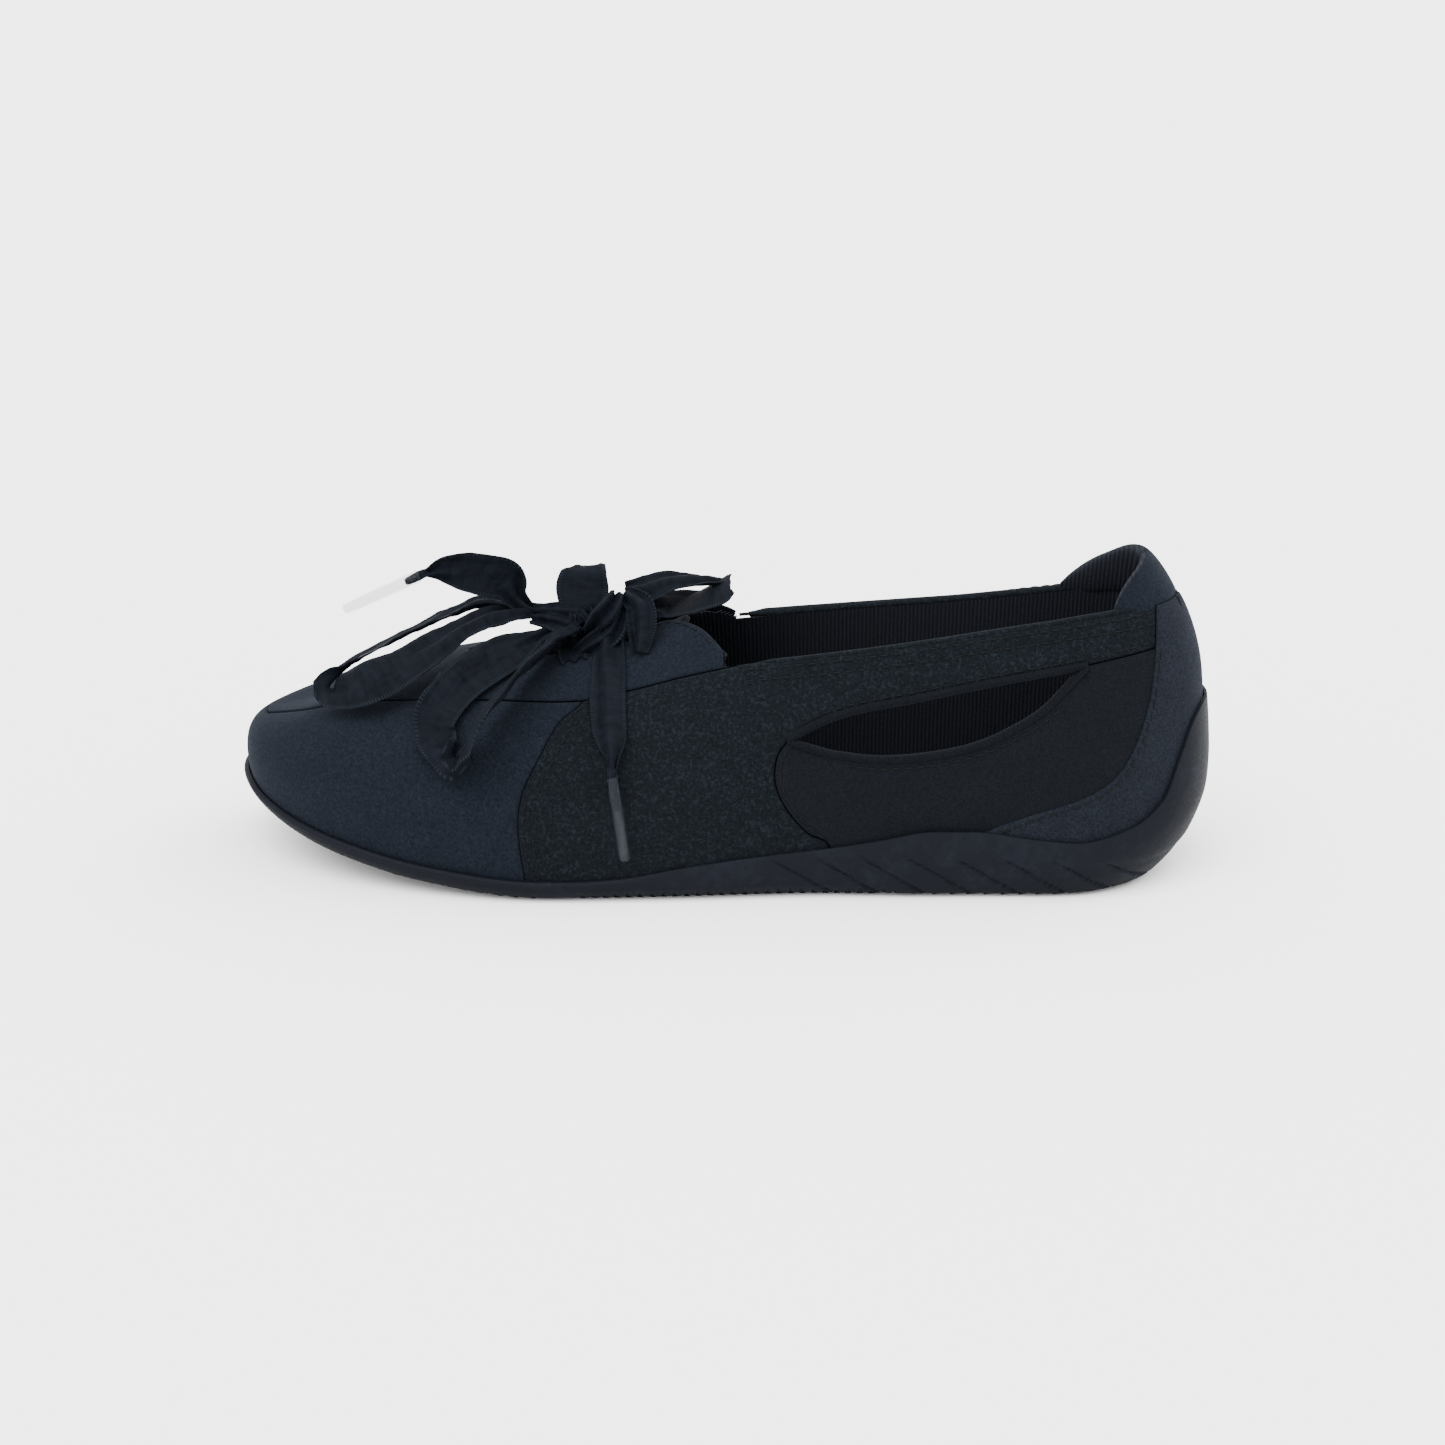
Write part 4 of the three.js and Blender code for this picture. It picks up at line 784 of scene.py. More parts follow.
def clear_plastic():
    f = Finish("clear_plastic", tone(44, 48, 54), 0.15, Alpha=0.12, Specular_IOR_Level=0.3)
    haze = f.noise(4 * MM, 2)
    f.rough(f.ranged(haze, 0.3, 0.7, 0.1, 0.2))
    return f.material


CLEAR = clear_plastic()


def paint(piece, finish, body="shoe", nodes=(), edge=None):
    """Gives a piece its material slot and body, and hides the CAD nodes that it stands for."""
    piece.data.materials.clear()
    piece.data.materials.append(finish)
    # The edge finish goes on the four-sided wall faces: painted shade along the seams.
    if edge is not None:
        piece.data.materials.append(edge)
        for face in piece.data.polygons:
            if len(face.vertices) == 4:
                face.material_index = 1
    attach(piece, body)
    if nodes:
        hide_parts(*nodes)
    return piece


def keep_node(node, finish):
    """A CAD node whose shape is right gets its material."""
    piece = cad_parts[node]
    piece.data.materials.clear()
    piece.data.materials.append(finish)


# ---------- the face seen from above ----------
def face_tree():
    t, h = np.arange(720) / 720, np.linspace(0, 1, 121)
    p = face_at(t[:, None], h[None])
    n = normal_at(t[:, None], h[None])
    faces = []
    for i in range(720):
        j = (i + 1) % 720
        faces += [(i * 121 + r, j * 121 + r, j * 121 + r + 1, i * 121 + r + 1) for r in range(120)]
    flat = p.reshape(-1, 3)
    return BVHTree.FromPolygons(flat.tolist(), faces), flat, n.reshape(-1, 3)


FACE, FACE_P, FACE_N = face_tree()


def face_normal_near(point, index):
    i, r = divmod(index, 120)
    j = (i + 1) % 720
    ids = [i * 121 + r, j * 121 + r, j * 121 + r + 1, i * 121 + r + 1]
    away = np.linalg.norm(FACE_P[ids] - np.array(point), axis=1) + 1e-6
    n = (FACE_N[ids] / away[:, None]).sum(0)
    return n / np.linalg.norm(n)


def from_above(plan):
    """Place and normal of the face straight above each plan point."""
    places, normals = np.zeros((len(plan), 3)), np.zeros((len(plan), 3))
    for k, (x, y) in enumerate(plan):
        hit = FACE.ray_cast(Vector((x, y, 0.3)), Vector((0, 0, -1)))
        if hit[0] is None:
            hit = FACE.find_nearest(Vector((x, y, 0.05)))
        places[k] = hit[0]
        normals[k] = face_normal_near(hit[0], hit[2])
    return places, normals


def stand_off(points, room):
    """Pushes points out of the upper until they stand clear by the given room."""
    out = np.array(points)
    for k, p in enumerate(out):
        place, _, index, _ = FACE.find_nearest(Vector(p))
        n = face_normal_near(place, index)
        height = float(np.dot(p - np.array(place), n))
        if height < room:
            out[k] = p + n * (room - height)
    return out


# ---------- the upper ----------
SHUT = ~OVER & ~ON_TOP
RISE = {"quarter": 0.25 * MM, "panel": 0.5 * MM, "apron": 0.3 * MM, "overlay": 1.15 * MM}
paint(from_map("vamp_panel", SHUT & ~IN_QUARTER & ~IN_PANEL, 0.0, 1.0 * MM, gap=0.08 * MM), SUEDE,
      nodes=["vamp"], edge=PAINTED_SEAM_SHADE)
for side, pick in (("lateral", LATERAL), ("medial", ~LATERAL)):
    cloth = SHUT & IN_QUARTER & ~IN_PANEL & ~IN_HOLE & pick
    paint(from_map(f"quarter_panel_{side}", cloth, RISE["quarter"], 1.2 * MM, gap=0.1 * MM), QUARTER_SUEDE,
          nodes=[f"quarter_{side}"], edge=PAINTED_SEAM_SHADE)
    cloth = SHUT & IN_PANEL & ~IN_HOLE & pick
    paint(from_map(f"heel_side_panel_{side}", cloth, RISE["panel"], 1.3 * MM, rim=0.55 * MM), PANEL_SUEDE,
          nodes=[f"side_panel_{side}"], edge=PAINTED_SEAM_SHADE)
BACK = inside(MID_SIDE, BEHIND) & ~OVER & (MID_P[:, 0] > 0.04)
paint(from_map("heel_overlay_panel", BACK, RISE["overlay"], 0.8 * MM, rim=0.6 * MM), OVERLAY_SUEDE,
      nodes=["heel_overlay"], edge=PAINTED_SEAM_SHADE)
THROAT = throat_outline()
INSIDE = (MID_P[:, 0] > along(LINING_JOIN)) & ~OVER & ~IN_HOLE & ~(inside(MID_PLAN, THROAT) & ON_TOP)
paint(from_map("ribbed_quarter_lining", INSIDE, -2.1 * MM, 0.8 * MM), KNIT, nodes=["quarter_lining"])


def lace_slots():
    slots = []
    for s in HOLE_STATIONS:
        for side in (-1, 1):
            turn = np.linspace(0, 2 * np.pi, 25)[:-1]
            x = np.sign(np.cos(turn)) * np.abs(np.cos(turn)) ** 0.5 * HOLE_LONG / 2
            y = np.sign(np.sin(turn)) * np.abs(np.sin(turn)) ** 0.5 * HOLE_WIDE / 2
            slots.append(np.stack([along(s) + x, MIDDLE + side * HOLE_OUT + y], -1))
    return slots


SLOTS = lace_slots()


def make_apron():
    """The top piece from toe to throat, cut flat and laid over the last."""
    outline = even(APRON, 0.8 * MM, closed=True)
    lines = [(outline, True), (even(THROAT, 0.7 * MM, closed=True), True)] + [(slot, True) for slot in SLOTS]
    for span in ((0.0, 0.5), (0.5, 1.0)):
        q, miss = locate(side_line(COLLAR), [0, 2], span)
        plan = face_at(q[:, 0], q[:, 1])[:, :2]
        good = (miss < 0.05 * MM) & inside(plan, outline)
        if good.sum() > 2:
            lines.append((plan[good], False))
    low, high = outline.min(0), outline.max(0)
    flat, faces = spread(lines, lambda p: inside(p, outline), low, high, 1.6 * MM, [0.35 * MM, 0.9 * MM])
    places, normals = from_above(flat)
    mid = flat[faces].mean(1)
    mid_z = places[faces].mean(1)
    cut = inside(mid, THROAT) | inside(mid_z[:, [0, 2]], ABOVE_COLLAR)
    for slot in SLOTS:
        cut |= inside(mid, slot)
    keep = inside(mid, outline) & ~cut
    return thicken("apron_panel", places, normals, faces[keep], RISE["apron"], 1.2 * MM, rim=0.5 * MM)


paint(make_apron(), SUEDE, nodes=["apron"], edge=PAINTED_SEAM_SHADE)


# ---------- rolled edges ----------
def tube(name, centres, sides, ups, side_half, up_half, closed, count=12):
    """A smooth cord of oval section along a line; sides and ups are its two directions."""
    turn = np.linspace(0, 2 * np.pi, count, endpoint=False)
    rings = [c + np.outer(np.cos(turn), s) * a + np.outer(np.sin(turn), u) * b
             for c, s, u, a, b in zip(centres, sides, ups, np.broadcast_to(side_half, len(centres)),
                                      np.broadcast_to(up_half, len(centres)))]
    n, faces = len(rings), []
    for i in range(n if closed else n - 1):
        j = (i + 1) % n
        for k in range(count):
            m = (k + 1) % count
            faces.append((i * count + k, i * count + m, j * count + m, j * count + k))
    if not closed:
        faces.append(tuple(range(count))[::-1])
        faces.append(tuple((n - 1) * count + k for k in range(count)))
    return face_outward(make_mesh(name, np.concatenate(rings), faces, sharp=60))


def face_outward(piece):
    shell = bmesh.new()
    shell.from_mesh(piece.data)
    bmesh.ops.recalc_face_normals(shell, faces=shell.faces)
    shell.to_mesh(piece.data)
    shell.free()
    return piece


def unit(v):
    return v / np.maximum(np.linalg.norm(v, axis=-1, keepdims=True), 1e-12)


def soften(points, rounds, closed=True):
    p = np.array(points, float)
    for _ in range(rounds):
        q = (np.roll(p, 1, 0) + 2 * p + np.roll(p, -1, 0)) / 4
        p = q if closed else np.concatenate([p[:1], q[1:-1], p[-1:]])
    return p


def frames_along(places, normals, closed):
    way = np.roll(places, -1, 0) - np.roll(places, 1, 0) if closed else np.gradient(places, axis=0)
    way = unit(way)
    normals = unit(normals - (normals * way).sum(-1, keepdims=True) * way)
    return unit(np.cross(way, normals)), normals


for side, span in (("lateral", (0.0, 0.5)), ("medial", (0.5, 1.0))):
    rim = soften(even(CUTOUT, 0.9 * MM, closed=True), 3)
    q, _ = locate(rim, [0, 2], span)
    places = skin_at(q[:, 0], q[:, 1], np.full(len(q), -0.55 * MM))
    across, ups = frames_along(places, normal_at(q[:, 0], q[:, 1]), True)
    paint(tube(f"cutout_piping_{side}", places, across, ups, 1.1 * MM, 1.95 * MM, True, 16), EDGE_SUEDE,
          nodes=[f"side_binding_{side}"])


def collar_line():
    """The collar from one side of the throat round the heel to the other, as t and h."""
    t = np.linspace(0.27, 0.74, 420)
    low = climb(t, lambda s: np.where(t < 0.5, curve(COLLAR, s), curve(COLLAR_FAR, s)))
    p = face_at(t, low)
    keep = (p[:, 0] > np.where(t < 0.5, along(0.535), along(0.517))) & (low < 0.985)
    return t[keep], low[keep]


COLLAR_T, COLLAR_H = collar_line()


def collar_edge():
    places = skin_at(COLLAR_T, COLLAR_H, np.full(len(COLLAR_T), -1.25 * MM))
    places = even(places, 1.2 * MM)
    grown = np.interp(np.linspace(0, 1, len(places)), np.linspace(0, 1, len(COLLAR_T)), COLLAR_T)
    high = np.interp(grown, COLLAR_T, COLLAR_H)
    normals = normal_at(grown, high)
    ups, across = frames_along(places, normals, False)
    fade = np.clip(np.minimum(np.arange(len(places)), np.arange(len(places))[::-1]) / 6, 0.35, 1)
    return tube("collar_edge", places, across, ups, 1.5 * MM * fade, 0.95 * MM * fade, False, 14)


paint(collar_edge(), QUARTER_SUEDE)
keep_node("vamp_lining", KNIT)
for node in ("toe_puff", "heel_counter"):
    keep_node(node, STIFF)
keep_node("insole_board", BOARD)


# ---------- heel tab ----------
def make_heel_tab():
    """A soft pull tab that stands above the collar: crowned, with a rounded top edge."""
    t = np.linspace(0.40, 0.60, 240)
    rim, top = [np.where(t < 0.5, climb(t, lambda s: curve(near, s)), climb(t, lambda s: curve(far, s)))
                for near, far in ((COLLAR, COLLAR_FAR), (TAB_NEAR, TAB_FAR))]
    x = face_at(t, rim)[:, 0]
    start = np.where(t < 0.5, float(along(0.898)), float(along(0.848)))
    keep = (x > start) & (top > rim + 0.004)
    t, rim, top = t[keep], rim[keep], top[keep]
    top = soften(top[:, None], 6, closed=False)[:, 0]
    rim = rim - 0.012
    end = np.minimum(np.arange(len(t)), np.arange(len(t))[::-1]) / 22
    plump = np.sqrt(np.clip(end, 0.02, 1))
    count = 44
    turn = np.linspace(0, 2 * np.pi, count, endpoint=False)
    rise = 0.5 - 0.5 * np.sign(np.cos(turn)) * np.abs(np.cos(turn)) ** 0.55
    bulge = np.sign(np.sin(turn)) * np.abs(np.sin(turn)) ** 0.45
    points = []
    for a, low, high, full in zip(t, rim, top, plump):
        h = low + (high - low) * rise
        crown = np.sin(np.pi * np.clip(rise, 0, 1)) * 0.35 * MM * full
        out = -1.5 * MM + (1.75 * MM * full * bulge + crown * np.sign(bulge))
        points.append(skin_at(np.full(count, a), h, out))
    n = len(points)
    faces = [(i * count + k, (i + 1) * count + k, (i + 1) * count + (k + 1) % count,
              i * count + (k + 1) % count) for i in range(n - 1) for k in range(count)]
    faces.append(tuple(range(count)))
    faces.append(tuple((n - 1) * count + k for k in range(count))[::-1])
    return face_outward(make_mesh("heel_pull_tab", np.concatenate(points), faces, sharp=70))


TAB = make_heel_tab()
paint(TAB, SUEDE, nodes=["heel_tab"])
TAB.data.materials.append(KNIT)
centre = Vector((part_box("heel_tab")[0].x - 0.01, MIDDLE, 0.07))
for face in TAB.data.polygons:
    toward = centre - face.center
    toward.z = 0
    if face.normal.dot(toward.normalized()) > 0.25:
        face.material_index = 1


# ---------- tongue ----------
def make_tongue():
    front, rear, half = float(along(THROAT_FRONT)) - SLIT_HALF - 3 * MM, float(along(0.465)), 12 * MM
    outline = np.array([[front, -half], [rear - 6 * MM, -half], [rear - 1.5 * MM, -half + 3 * MM],
                        [rear, -half + 7 * MM], [rear, half - 7 * MM], [rear - 1.5 * MM, half - 3 * MM],
                        [rear - 6 * MM, half], [front, half]]) + [0, MIDDLE]
    outline = soften(even(outline, 0.8 * MM, closed=True), 4)
    low, high = outline.min(0), outline.max(0)
    flat, faces = spread([(outline, True)], lambda p: inside(p, outline), low, high, 1.6 * MM,
                         [0.35 * MM, 0.9 * MM])
    faces = faces[inside(flat[faces].mean(1), outline)]
    places, normals = from_above(flat)
    return thicken("tongue_cloth", places, normals, faces, -3.3 * MM, 1.3 * MM, rim=0.5 * MM)


TONGUE = paint(make_tongue(), KNIT, body="tongue", nodes=["tongue"])


# ---------- footbed ----------
def plan_point(t, z, out):
    s, foot, inward, *_ = column_at(t)
    plan = foot + inward * (roll_at(s, z) - out)[..., None]
    return np.concatenate([plan, np.broadcast_to(z, s.shape)[..., None]], -1)


def make_footbed():
    """A moulded foam sockliner, dished under the heel and the ball of the foot."""
    half, cross = 130, 34
    t = np.linspace(0, 0.5, half + 1)
    low = column_at(t)[5] + 1.8 * MM
    low_far = column_at(1 - t)[5] + 1.8 * MM
    f = np.linspace(0, 1, cross + 1)
    edge = np.minimum(f, 1 - f)
    layers = []
    for up, inset in ((3.0 * MM, 6.2 * MM), (0.0, 5.2 * MM)):
        near = plan_point(t, low + up, -inset)
        far = plan_point(1 - t, low_far + up, -inset)
        grid = near[:, None] * (1 - f)[None, :, None] + far[:, None] * f[None, :, None]
        if up:
            long_way = np.sin(np.pi * np.linspace(0, 1, half + 1))[:, None] ** 0.5
            dish = 1.1 * MM * np.sin(np.pi * f) ** 0.8 * long_way
            grid[..., 2] -= dish + 0.9 * MM * np.clip(1 - edge / 0.04, 0, 1) ** 2
        layers.append(grid)
    points = np.concatenate([g.reshape(-1, 3) for g in layers])
    size, row = (half + 1) * (cross + 1), cross + 1
    faces = []
    for i in range(half):
        for k in range(cross):
            a = i * row + k
            faces.append((a, a + 1, a + row + 1, a + row))
            faces.append((a + size, a + row + size, a + row + 1 + size, a + 1 + size))
    ring = ([i * row for i in range(half + 1)] + [half * row + k for k in range(1, row)]
            + [i * row + cross for i in range(half - 1, -1, -1)] + [k for k in range(cross - 1, 0, -1)])
    for a, b in zip(ring, ring[1:] + ring[:1]):
        faces.append((a, b, b + size, a + size))
    piece = make_mesh("foam_sockliner", points, faces, sharp=50)
    shell = bmesh.new()
    shell.from_mesh(piece.data)
    bmesh.ops.remove_doubles(shell, verts=shell.verts, dist=0.02 * MM)
    bmesh.ops.recalc_face_normals(shell, faces=shell.faces)
    shell.to_mesh(piece.data)
    shell.free()
    return piece


paint(make_footbed(), FOOTBED, nodes=["sockliner"])


# ---------- outsole ----------
def sole_columns():
    """Turns round the sole, closer together in the heel half; the second half mirrors the first."""
    fine = np.interp(np.linspace(0, 1, 500), np.linspace(0, 1, 3), [0, 0.26, 0.5])
    half = np.sort(fine)
    return np.concatenate([half, 1 - half[-2:0:-1]])


def make_outsole():
    """The cup sole: wall rolled under the foot, diagonal cuts at the heel, thinner at the top."""
    t = sole_columns()
    s, _, inward, _, _, low, _ = column_at(t)
    room = curve(WALL_ROOM, s) * MM
    ground = tall(curve(SPRING, s))
    top = np.maximum(climb(t, lambda s: curve(SOLE_EDGE, s), 0.6), 0.012)
    keys = []
    for up, out in ((0.8 * MM, -1.1 * MM), (1.0 * MM, -0.2 * MM), (1.9 * MM, 0.35 * MM)):
        z = np.minimum(ground + up, low - 0.3 * MM)
        keys.append(plan_point(t, z, out + room + SOLE_WALL * 0.6))
    for share in (0.45, 0.75):
        z = ground + 1.9 * MM + (low - ground - 1.9 * MM) * share
        keys.append(plan_point(t, np.maximum(z, ground + 1.9 * MM), room + SOLE_WALL))
    for share in (0.08, 0.3, 0.52, 0.74, 0.92, 1.0):
        thin = 1 - 0.45 * share ** 3
        keys.append(skin_at(t, top * share, room + SOLE_WALL * thin))
    keys = np.stack(keys, 1)
    rows = 56
    place = np.linspace(0, keys.shape[1] - 1, rows)
    i = np.minimum(place.astype(int), keys.shape[1] - 2)
    u = (place - i)[None, :, None]
    a, b, c, d = [keys[:, np.clip(i + k, 0, keys.shape[1] - 1)] for k in (-1, 0, 1, 2)]
    wall = between(a, b, c, d, u)
    outward = unit(np.cross(np.gradient(wall, axis=0), np.gradient(wall, axis=1)))
    side = np.concatenate([-inward, np.zeros((len(t), 1))], -1)[:, None]
    outward *= np.sign((outward * side).sum(-1, keepdims=True))
    x, _, z = np.moveaxis(wall, -1, 0)
    cut = np.zeros_like(x)
    for k in range(8):
        middle = (34 + 12.1 * k) * MM
        lean = middle - 1.6 * (z - 1 * MM) - 6 * (z - 6 * MM) ** 2 * 2
        ends_at = (13.5 - 0.5 * abs(k - 3)) * MM
        fade = np.clip((z - 0.5 * MM) / MM, 0, 1) * np.clip((ends_at - z) / (3 * MM), 0, 1)
        cut += np.exp(-((x - lean) / (0.42 * MM)) ** 2) * fade
    notch = np.exp(-((np.mod(x / (3 * MM), 1) - 0.5) / 0.16) ** 2)
    notch *= np.clip((3.2 * MM - z) / (1 * MM), 0, 1) * (x > -32 * MM) * (x < 50 * MM)
    wall = wall - outward * ((cut * 0.75 + notch * 0.6) * MM)[..., None]
    inner = [skin_at(t, top, room + 0.15 * MM), skin_at(t, top * 0.5, room + 0.1 * MM),
             plan_point(t, low - 0.3 * MM, room + 0.1 * MM), plan_point(t, low - 0.5 * MM, room - 1.2 * MM)]
    rings = [wall[:, r] for r in range(rows)] + inner
    n, faces = len(t), []
    for r in range(len(rings) - 1):
        for i in range(n):
            j = (i + 1) % n
            faces.append((r * n + i, r * n + j, (r + 1) * n + j, (r + 1) * n + i))
    last = (len(rings) - 1) * n
    for i in range(n // 2):
        a, b, c, d = i, i + 1, (n - i - 1) % n, (n - i) % n
        for base, order in ((0, (d, c, b, a)), (last, (a, b, c, d))):
            loop = [base + v for v in dict.fromkeys(order)]
            if len(loop) > 2:
                faces.append(tuple(loop))
    return face_outward(make_mesh("cup_outsole", np.concatenate(rings), faces, sharp=50))


paint(make_outsole(), RUBBER, nodes=["outsole"])


# ---------- ribbon ----------
def knotted_path(points, places):
    """A centripetal spline through points, read at shares of its length in stations."""
    p = np.asarray(points, float)
    p = np.concatenate([[2 * p[0] - p[1]], p, [2 * p[-1] - p[-2]]])
    last = len(points) - 1
    out = []
    for u in places:
        k = min(int(u * last), last - 1)
        w = u * last - k
        q = p[k:k + 4]
        gap = np.maximum(np.linalg.norm(np.diff(q, axis=0), axis=1) ** 0.5, 1e-6)
        m1 = ((q[1] - q[0]) / gap[0] - (q[2] - q[0]) / (gap[0] + gap[1]) + (q[2] - q[1]) / gap[1]) * gap[1]
        m2 = ((q[2] - q[1]) / gap[1] - (q[3] - q[1]) / (gap[1] + gap[2]) + (q[3] - q[2]) / gap[2]) * gap[1]
        a, b = 2 * q[1] - 2 * q[2] + m1 + m2, -3 * q[1] + 3 * q[2] - 2 * m1 - m2
        out.append(a * w ** 3 + b * w * w + m1 * w + q[1])
    return np.array(out)


def ripple(u, v, seed, size):
    """Slow, repeatable creasing over a ribbon, between -1 and 1."""
    return noise.noise(Vector((u / size + seed * 7.3, v / size + seed * 3.1, seed * 1.7)))


def ribbon_piece(name, centres, across, widths, folds, seed, clear=True, cup=0.35, crease=0.55,
                 wide=RIBBON_WIDTH, columns=27, room=0.75 * MM):
    """A thin closed strip of cloth that keeps its woven width: where it narrows, it pleats."""
    centres = np.asarray(centres, float)
    far = np.concatenate([[0], np.cumsum(np.linalg.norm(np.diff(centres, axis=0), axis=1))])
    way = unit(np.gradient(centres, axis=0))
    across = unit(across - (across * way).sum(-1, keepdims=True) * way)
    up = unit(np.cross(way, across))
    n, half_thick = len(centres), 0.14 * MM
    v = np.linspace(-1, 1, columns)
    grid = np.zeros((n, columns, 3))
    for i in range(n):
        chord = widths[i]
        slack = max(wide / chord - 1, 0.0)
        tall_fold = chord / (np.pi * folds) * math.sqrt(slack) * 0.95
        drift = 0.6 * math.sin(far[i] / (9 * MM) + seed)
        wave = np.sin(v * np.pi * folds + drift + seed) * tall_fold
        lumps = np.array([ripple(a * wide / 2, far[i] * 0.45, seed, 4.2 * MM) for a in v]) * crease * MM
        fine = np.array([ripple(a * wide / 2 * 1.5, far[i] * 0.8, seed + 5, 1.7 * MM) for a in v])
        fine = fine * crease * 0.3 * MM
        bend = cup * MM * (v * v - 0.4) * (chord / wide)
        lift = wave + lumps + fine + bend
        grid[i] = centres[i] + np.outer(v * chord / 2, across[i]) + np.outer(lift, up[i])
    if clear:
        flat = stand_off(grid.reshape(-1, 3), room)
        grid = flat.reshape(n, columns, 3)
    normal = unit(np.cross(np.gradient(grid, axis=0), np.gradient(grid, axis=1)))
    points = np.concatenate([(grid + normal * side * half_thick).reshape(-1, 3) for side in (1, -1)])
    uv = np.stack(np.broadcast_arrays(((v + 1) / 2 * wide)[None], far[:, None]), -1).reshape(-1, 2)
    size, faces = n * columns, []
    for i in range(n - 1):
        for k in range(columns - 1):
            a = i * columns + k
            faces.append((a, a + columns, a + columns + 1, a + 1))
            faces.append((a + size, a + 1 + size, a + columns + 1 + size, a + columns + size))
    rim = ([k for k in range(columns)] + [i * columns + columns - 1 for i in range(1, n)]
           + [(n - 1) * columns + k for k in range(columns - 2, -1, -1)]
           + [i * columns for i in range(n - 2, 0, -1)])
    for a, b in zip(rim, rim[1:] + rim[:1]):
        faces.append((a, b, b + size, a + size))
    piece = make_mesh(name, points, faces, sharp=75, uv=np.concatenate([uv, uv]))
    return face_outward(piece), float(far[-1])


def stations(name):
    table = np.array(RUNS[name], float)
    return BOW + table[:, :3] * MM, unit(table[:, 3:6]), table[:, 6] * RIBBON_WIDTH


def run_of(name, pitch=0.75 * MM, **how):
    centres, across, widths = stations(name)
    last = len(centres) - 1
    rough = knotted_path(centres, np.linspace(0, 1, last * 24 + 1))
    far = np.concatenate([[0], np.cumsum(np.linalg.norm(np.diff(rough, axis=0), axis=1))])
    count = int(far[-1] / pitch) + 1
    places = np.interp(np.linspace(0, far[-1], count), far, np.linspace(0, 1, len(far)))
    path = knotted_path(centres, places)
    stops = np.linspace(0, 1, last + 1)
    turn = np.stack([np.interp(places, stops, across[:, k]) for k in range(3)], -1)
    turn = soften(turn, 10, closed=False)
    width = soften(np.interp(places, stops, widths)[:, None], 6, closed=False)[:, 0]
    return ribbon_piece(name + "_ribbon", path, unit(turn), width, **how)


def hang(name, body, held, nodes, extra=(), **how):
    piece, long = run_of(name, **how)
    paint(piece, RIBBON, body=body, nodes=nodes)
    return piece


# ---------- aglets ----------
def make_aglet(name, start, way, body, node, reach):
    """A clear sleeve crimped on the rolled end of the ribbon."""
    way = Vector(way).normalized()
    start = BOW + np.array(start) * MM
    side = way.orthogonal().normalized()
    up = way.cross(side)
    side, up, way = np.array(side), np.array(up), np.array(way)
    count = 28
    turn = np.linspace(0, 2 * np.pi, count, endpoint=False)
    ring = np.outer(np.cos(turn), side) + np.outer(np.sin(turn), up)

    def lathe(profile):
        points = [start + way * z * MM + ring * r * MM for z, r in profile]
        n, faces = len(points), []
        for i in range(n - 1):
            for k in range(count):
                m = (k + 1) % count
                faces.append((i * count + k, i * count + m, (i + 1) * count + m, (i + 1) * count + k))
        return points, faces, n

    sleeve = [(0.3, 1.62), (0.5, 1.74), (1.6, 1.72), (2.0, 1.58), (2.6, 1.58), (3.0, 1.68), (12, 1.6),
              (20.6, 1.46), (21.6, 1.38), (22.1, 1.2), (22.1, 1.02), (20.0, 1.16), (12, 1.34),
              (3.0, 1.42), (0.4, 1.44)]
    points, faces, n = lathe(sleeve)
    for k in range(count):
        m = (k + 1) % count
        faces.append(((n - 1) * count + k, (n - 1) * count + m, m, k))
    shell = face_outward(make_mesh(name + "_clear_sleeve", np.concatenate(points), faces, sharp=50))
    paint(shell, CLEAR, body=body, nodes=[node])
    core = [(-2.2, 0.9), (-1.0, 1.15), (0.4, 1.22), (reach * 0.4, 1.12), (reach * 0.8, 1.0),
            (reach * 0.96, 0.8), (reach, 0.35)]
    points, faces, n = lathe(core)
    points = [p + (ring * (np.sin(turn * 5 + i) * 0.1 * MM)[:, None]) for i, p in enumerate(points)]
    faces.append(tuple(range(count)))
    faces.append(tuple((n - 1) * count + k for k in range(count))[::-1])
    uv = np.stack([np.tile(turn / 6.2832 * RIBBON_WIDTH, n), np.repeat([z * MM for z, _ in core], count)], -1)
    roll = face_outward(make_mesh(name + "_ribbon_core", np.concatenate(points), faces, sharp=60, uv=uv))
    paint(roll, RIBBON, body=body)
    return [shell, roll]


AGLET_FRONT = ((-47.8, -9.5, 12.8), (-16.2, -5.5, -6.7))
AGLET_NEAR = ((6, -38.9, -31.5), (3.4, -4.6, -20))
FRONT_END = make_aglet("aglet_front", *AGLET_FRONT, "tail_front", "aglet_front", 4.5)
NEAR_END = make_aglet("aglet_near", *AGLET_NEAR, "tail_near", "aglet_near", 9.0)
hang("tail_front", "tail_front", "draped", ["tail_front"], FRONT_END, folds=1.6, seed=1, cup=0.9, crease=0.8)
hang("tail_near", "tail_near", "hung", ["tail_near"], NEAR_END, folds=1.2, seed=2, cup=0.3, crease=0.35)
for loop, seed in (("loop_front_far", 3), ("loop_front_near", 4)):
    hang(loop, loop, "gathered", [loop], folds=1.7, seed=seed, cup=0.8, crease=0.9)
hang("loop_rear", "loop_rear", "gathered", ["loop_rear"], folds=1.7, seed=5, cup=0.6, crease=0.7)
hang("fold_up", "shoe", "folded", ["fold_up"], folds=1.4, seed=6, cup=0.9, crease=0.9, clear=False)
hang("fold_side", "shoe", "folded", [], folds=1.4, seed=8, cup=0.6, crease=0.5, clear=False)
hang("knot_diagonal", "shoe", "stretched", [], folds=2.0, seed=9, cup=-0.6, crease=0.6, clear=False)
hang("knot_gather", "shoe", "gathered", [], folds=3.0, seed=10, cup=-0.4, crease=0.9, clear=False)
hang("knot_foot", "shoe", "gathered", [], folds=2.0, seed=14, cup=0.4, crease=0.6)
